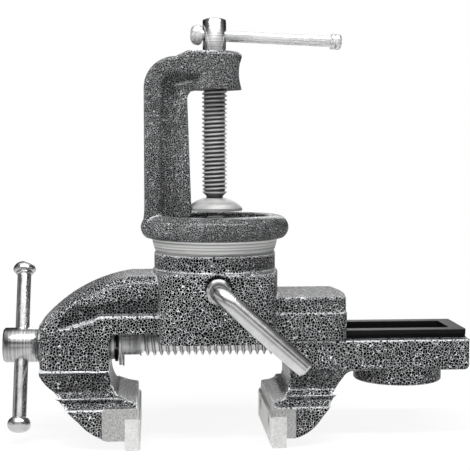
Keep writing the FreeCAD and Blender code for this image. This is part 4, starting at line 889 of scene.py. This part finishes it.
# Zinc plate over turned hubs: lines round them, and a wider spread of greys.
turned_plate = bright_metal("bright_zinc_plate_turned", "#dddddd", "#a9a9aa", 0.22,
                            (TURN_ACROSS, TURN_ALONG, TURN_ALONG))
hub_plate = bright_metal("bright_zinc_plate_hub", "#d6d6d6", "#9c9c9d", 0.2, (TURN_ALONG, TURN_ALONG, 0.667))
# Zinc plate over stamped washers: softer, as much white as mirror.
washer_plate = bright_metal("bright_zinc_plate_washers", "#f4f4f4", "#cacaca", 0.26,
                            (TURN_ACROSS, TURN_ALONG, TURN_ALONG), 0.6)
# Zinc plate on the lead thread, its light painted by radius: painted highlights on crests and roots, and
# painted shade on the flanks between them.
lead_thread_painted_light = radius_shaded_metal(
    "bright_zinc_plate_threaded_painted_light", (0, 0, SCREW_HEIGHT), (0, 1, 1), LEAD_ROOT, LEAD_CREST,
    ("#ffffff", "#f4f4f4", "#5a5a5b", "#7a7a7b", "#f8f8f8"), 0.26)
print("materials so far", len(bpy.data.materials))

# %% Steel pieces
# Turned steel without plate: satin, with lines round it.
turned_steel = bright_metal("turned_steel", "#f2f2f1", "#b2b2b2", 0.3, (TURN_ALONG, TURN_ALONG, TURN_ACROSS))
# Pressed steel: duller, and mottled rather than streaked.
pressed_steel = bright_metal("pressed_steel", "#bcbcbb", "#858585", 0.36, (2.5, 2.5, 2.5))
pad_steel = bright_metal("satin_pressed_steel", "#b8b8b7", "#929292", 0.42, (16.7, 16.7, 1.67), 0.5)
# Ground steel: pale and even, with short scratches across the plate.
ground_steel = bright_metal("ground_steel", "#dededc", "#bcbcba", 0.34, (0.667, 16.7, 0.667), 0.4)
# Oiled spring steel: nearly black, with a faint sheen.
black_spring = bright_metal("oiled_spring_steel", "#3b3b3c", "#1a1a1b", 0.38, (3.33, 3.33, 3.33))
# Plain steel on the clamp thread, with painted shade in the grooves and painted highlights on the crests.
clamp_thread_painted_light = radius_shaded_metal(
    "steel_clamp_thread_painted_light", (0, 0, 0), (1, 1, 0), CLAMP_ROOT, CLAMP_CREST,
    ("#4a4a4b", "#7e7e7e", "#a2a2a2", "#d2d2d1"), 0.34)
print("materials", len(bpy.data.materials))

# %% [markdown]
# ## Every piece gets its finish
#
# A solid whose shape is right stays and only gets its material. The two screws need more than one: the lead
# screw is a turned hub, a plain shank and a thread, and the clamp screw a thread and a hub. They could be cut
# into separate objects, but one mesh can hold several materials, and each face takes the one of the stretch
# that its middle lies in.

# %% Finishes
HUB_FOOT = BOSS_TOP + 0.6 * MM
SHANK_FROM = -90.0 * MM


def dress(mesh, finishes, axis=0, borders=()):
    """Gives a mesh its finishes. A face takes the one after as many borders as its middle lies beyond."""
    mesh.materials.clear()
    for finish in finishes:
        mesh.materials.append(finish)
    if borders:
        middles = np.empty(3 * len(mesh.polygons), dtype=np.float32)
        mesh.polygons.foreach_get("center", middles)
        index = np.searchsorted(borders, middles[axis::3]).astype(np.int32)
        mesh.polygons.foreach_set("material_index", index)


finishes = {
    "vise_body": body_enamel, "moving_jaw": jaw_enamel, "clamp_base": base_enamel,
    "clamp_bar": clamp_bar_plate, "clamp_bar_cap": clamp_bar_plate,
    "main_bar": main_bar_plate, "main_bar_cap": main_bar_plate, "lock_lever": lever_plate,
    "thrust_washer": washer_plate, "flat_washer": washer_plate, "lever_ring": black_spring,
    "bolt_washer": pressed_steel, "lock_nut": pressed_steel, "clamp_pad": pad_steel,
    "outer_dished_washer": pressed_steel, "inner_dished_washer": pressed_steel,
    "fixed_jaw_plate": ground_steel, "moving_jaw_plate": ground_steel,
    "fixed_plate_screws": pressed_steel, "moving_plate_screws": pressed_steel, "lead_nut": pressed_steel,
}
for node, finish in finishes.items():
    dress(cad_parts[node].data, [finish])
dress(lead_screw_piece.data, [turned_plate, washer_plate, lead_thread_painted_light], 0, (SHANK_FROM, LEAD_START))
dress(clamp_screw_piece.data, [clamp_thread_painted_light, hub_plate], 2, (HUB_FOOT,))
dress(draw_bolt_piece.data, [turned_steel])
dress(spring_piece.data, [black_spring])
dress(pin_piece.data, [pressed_steel])
print("solids with a finish", len(finishes))
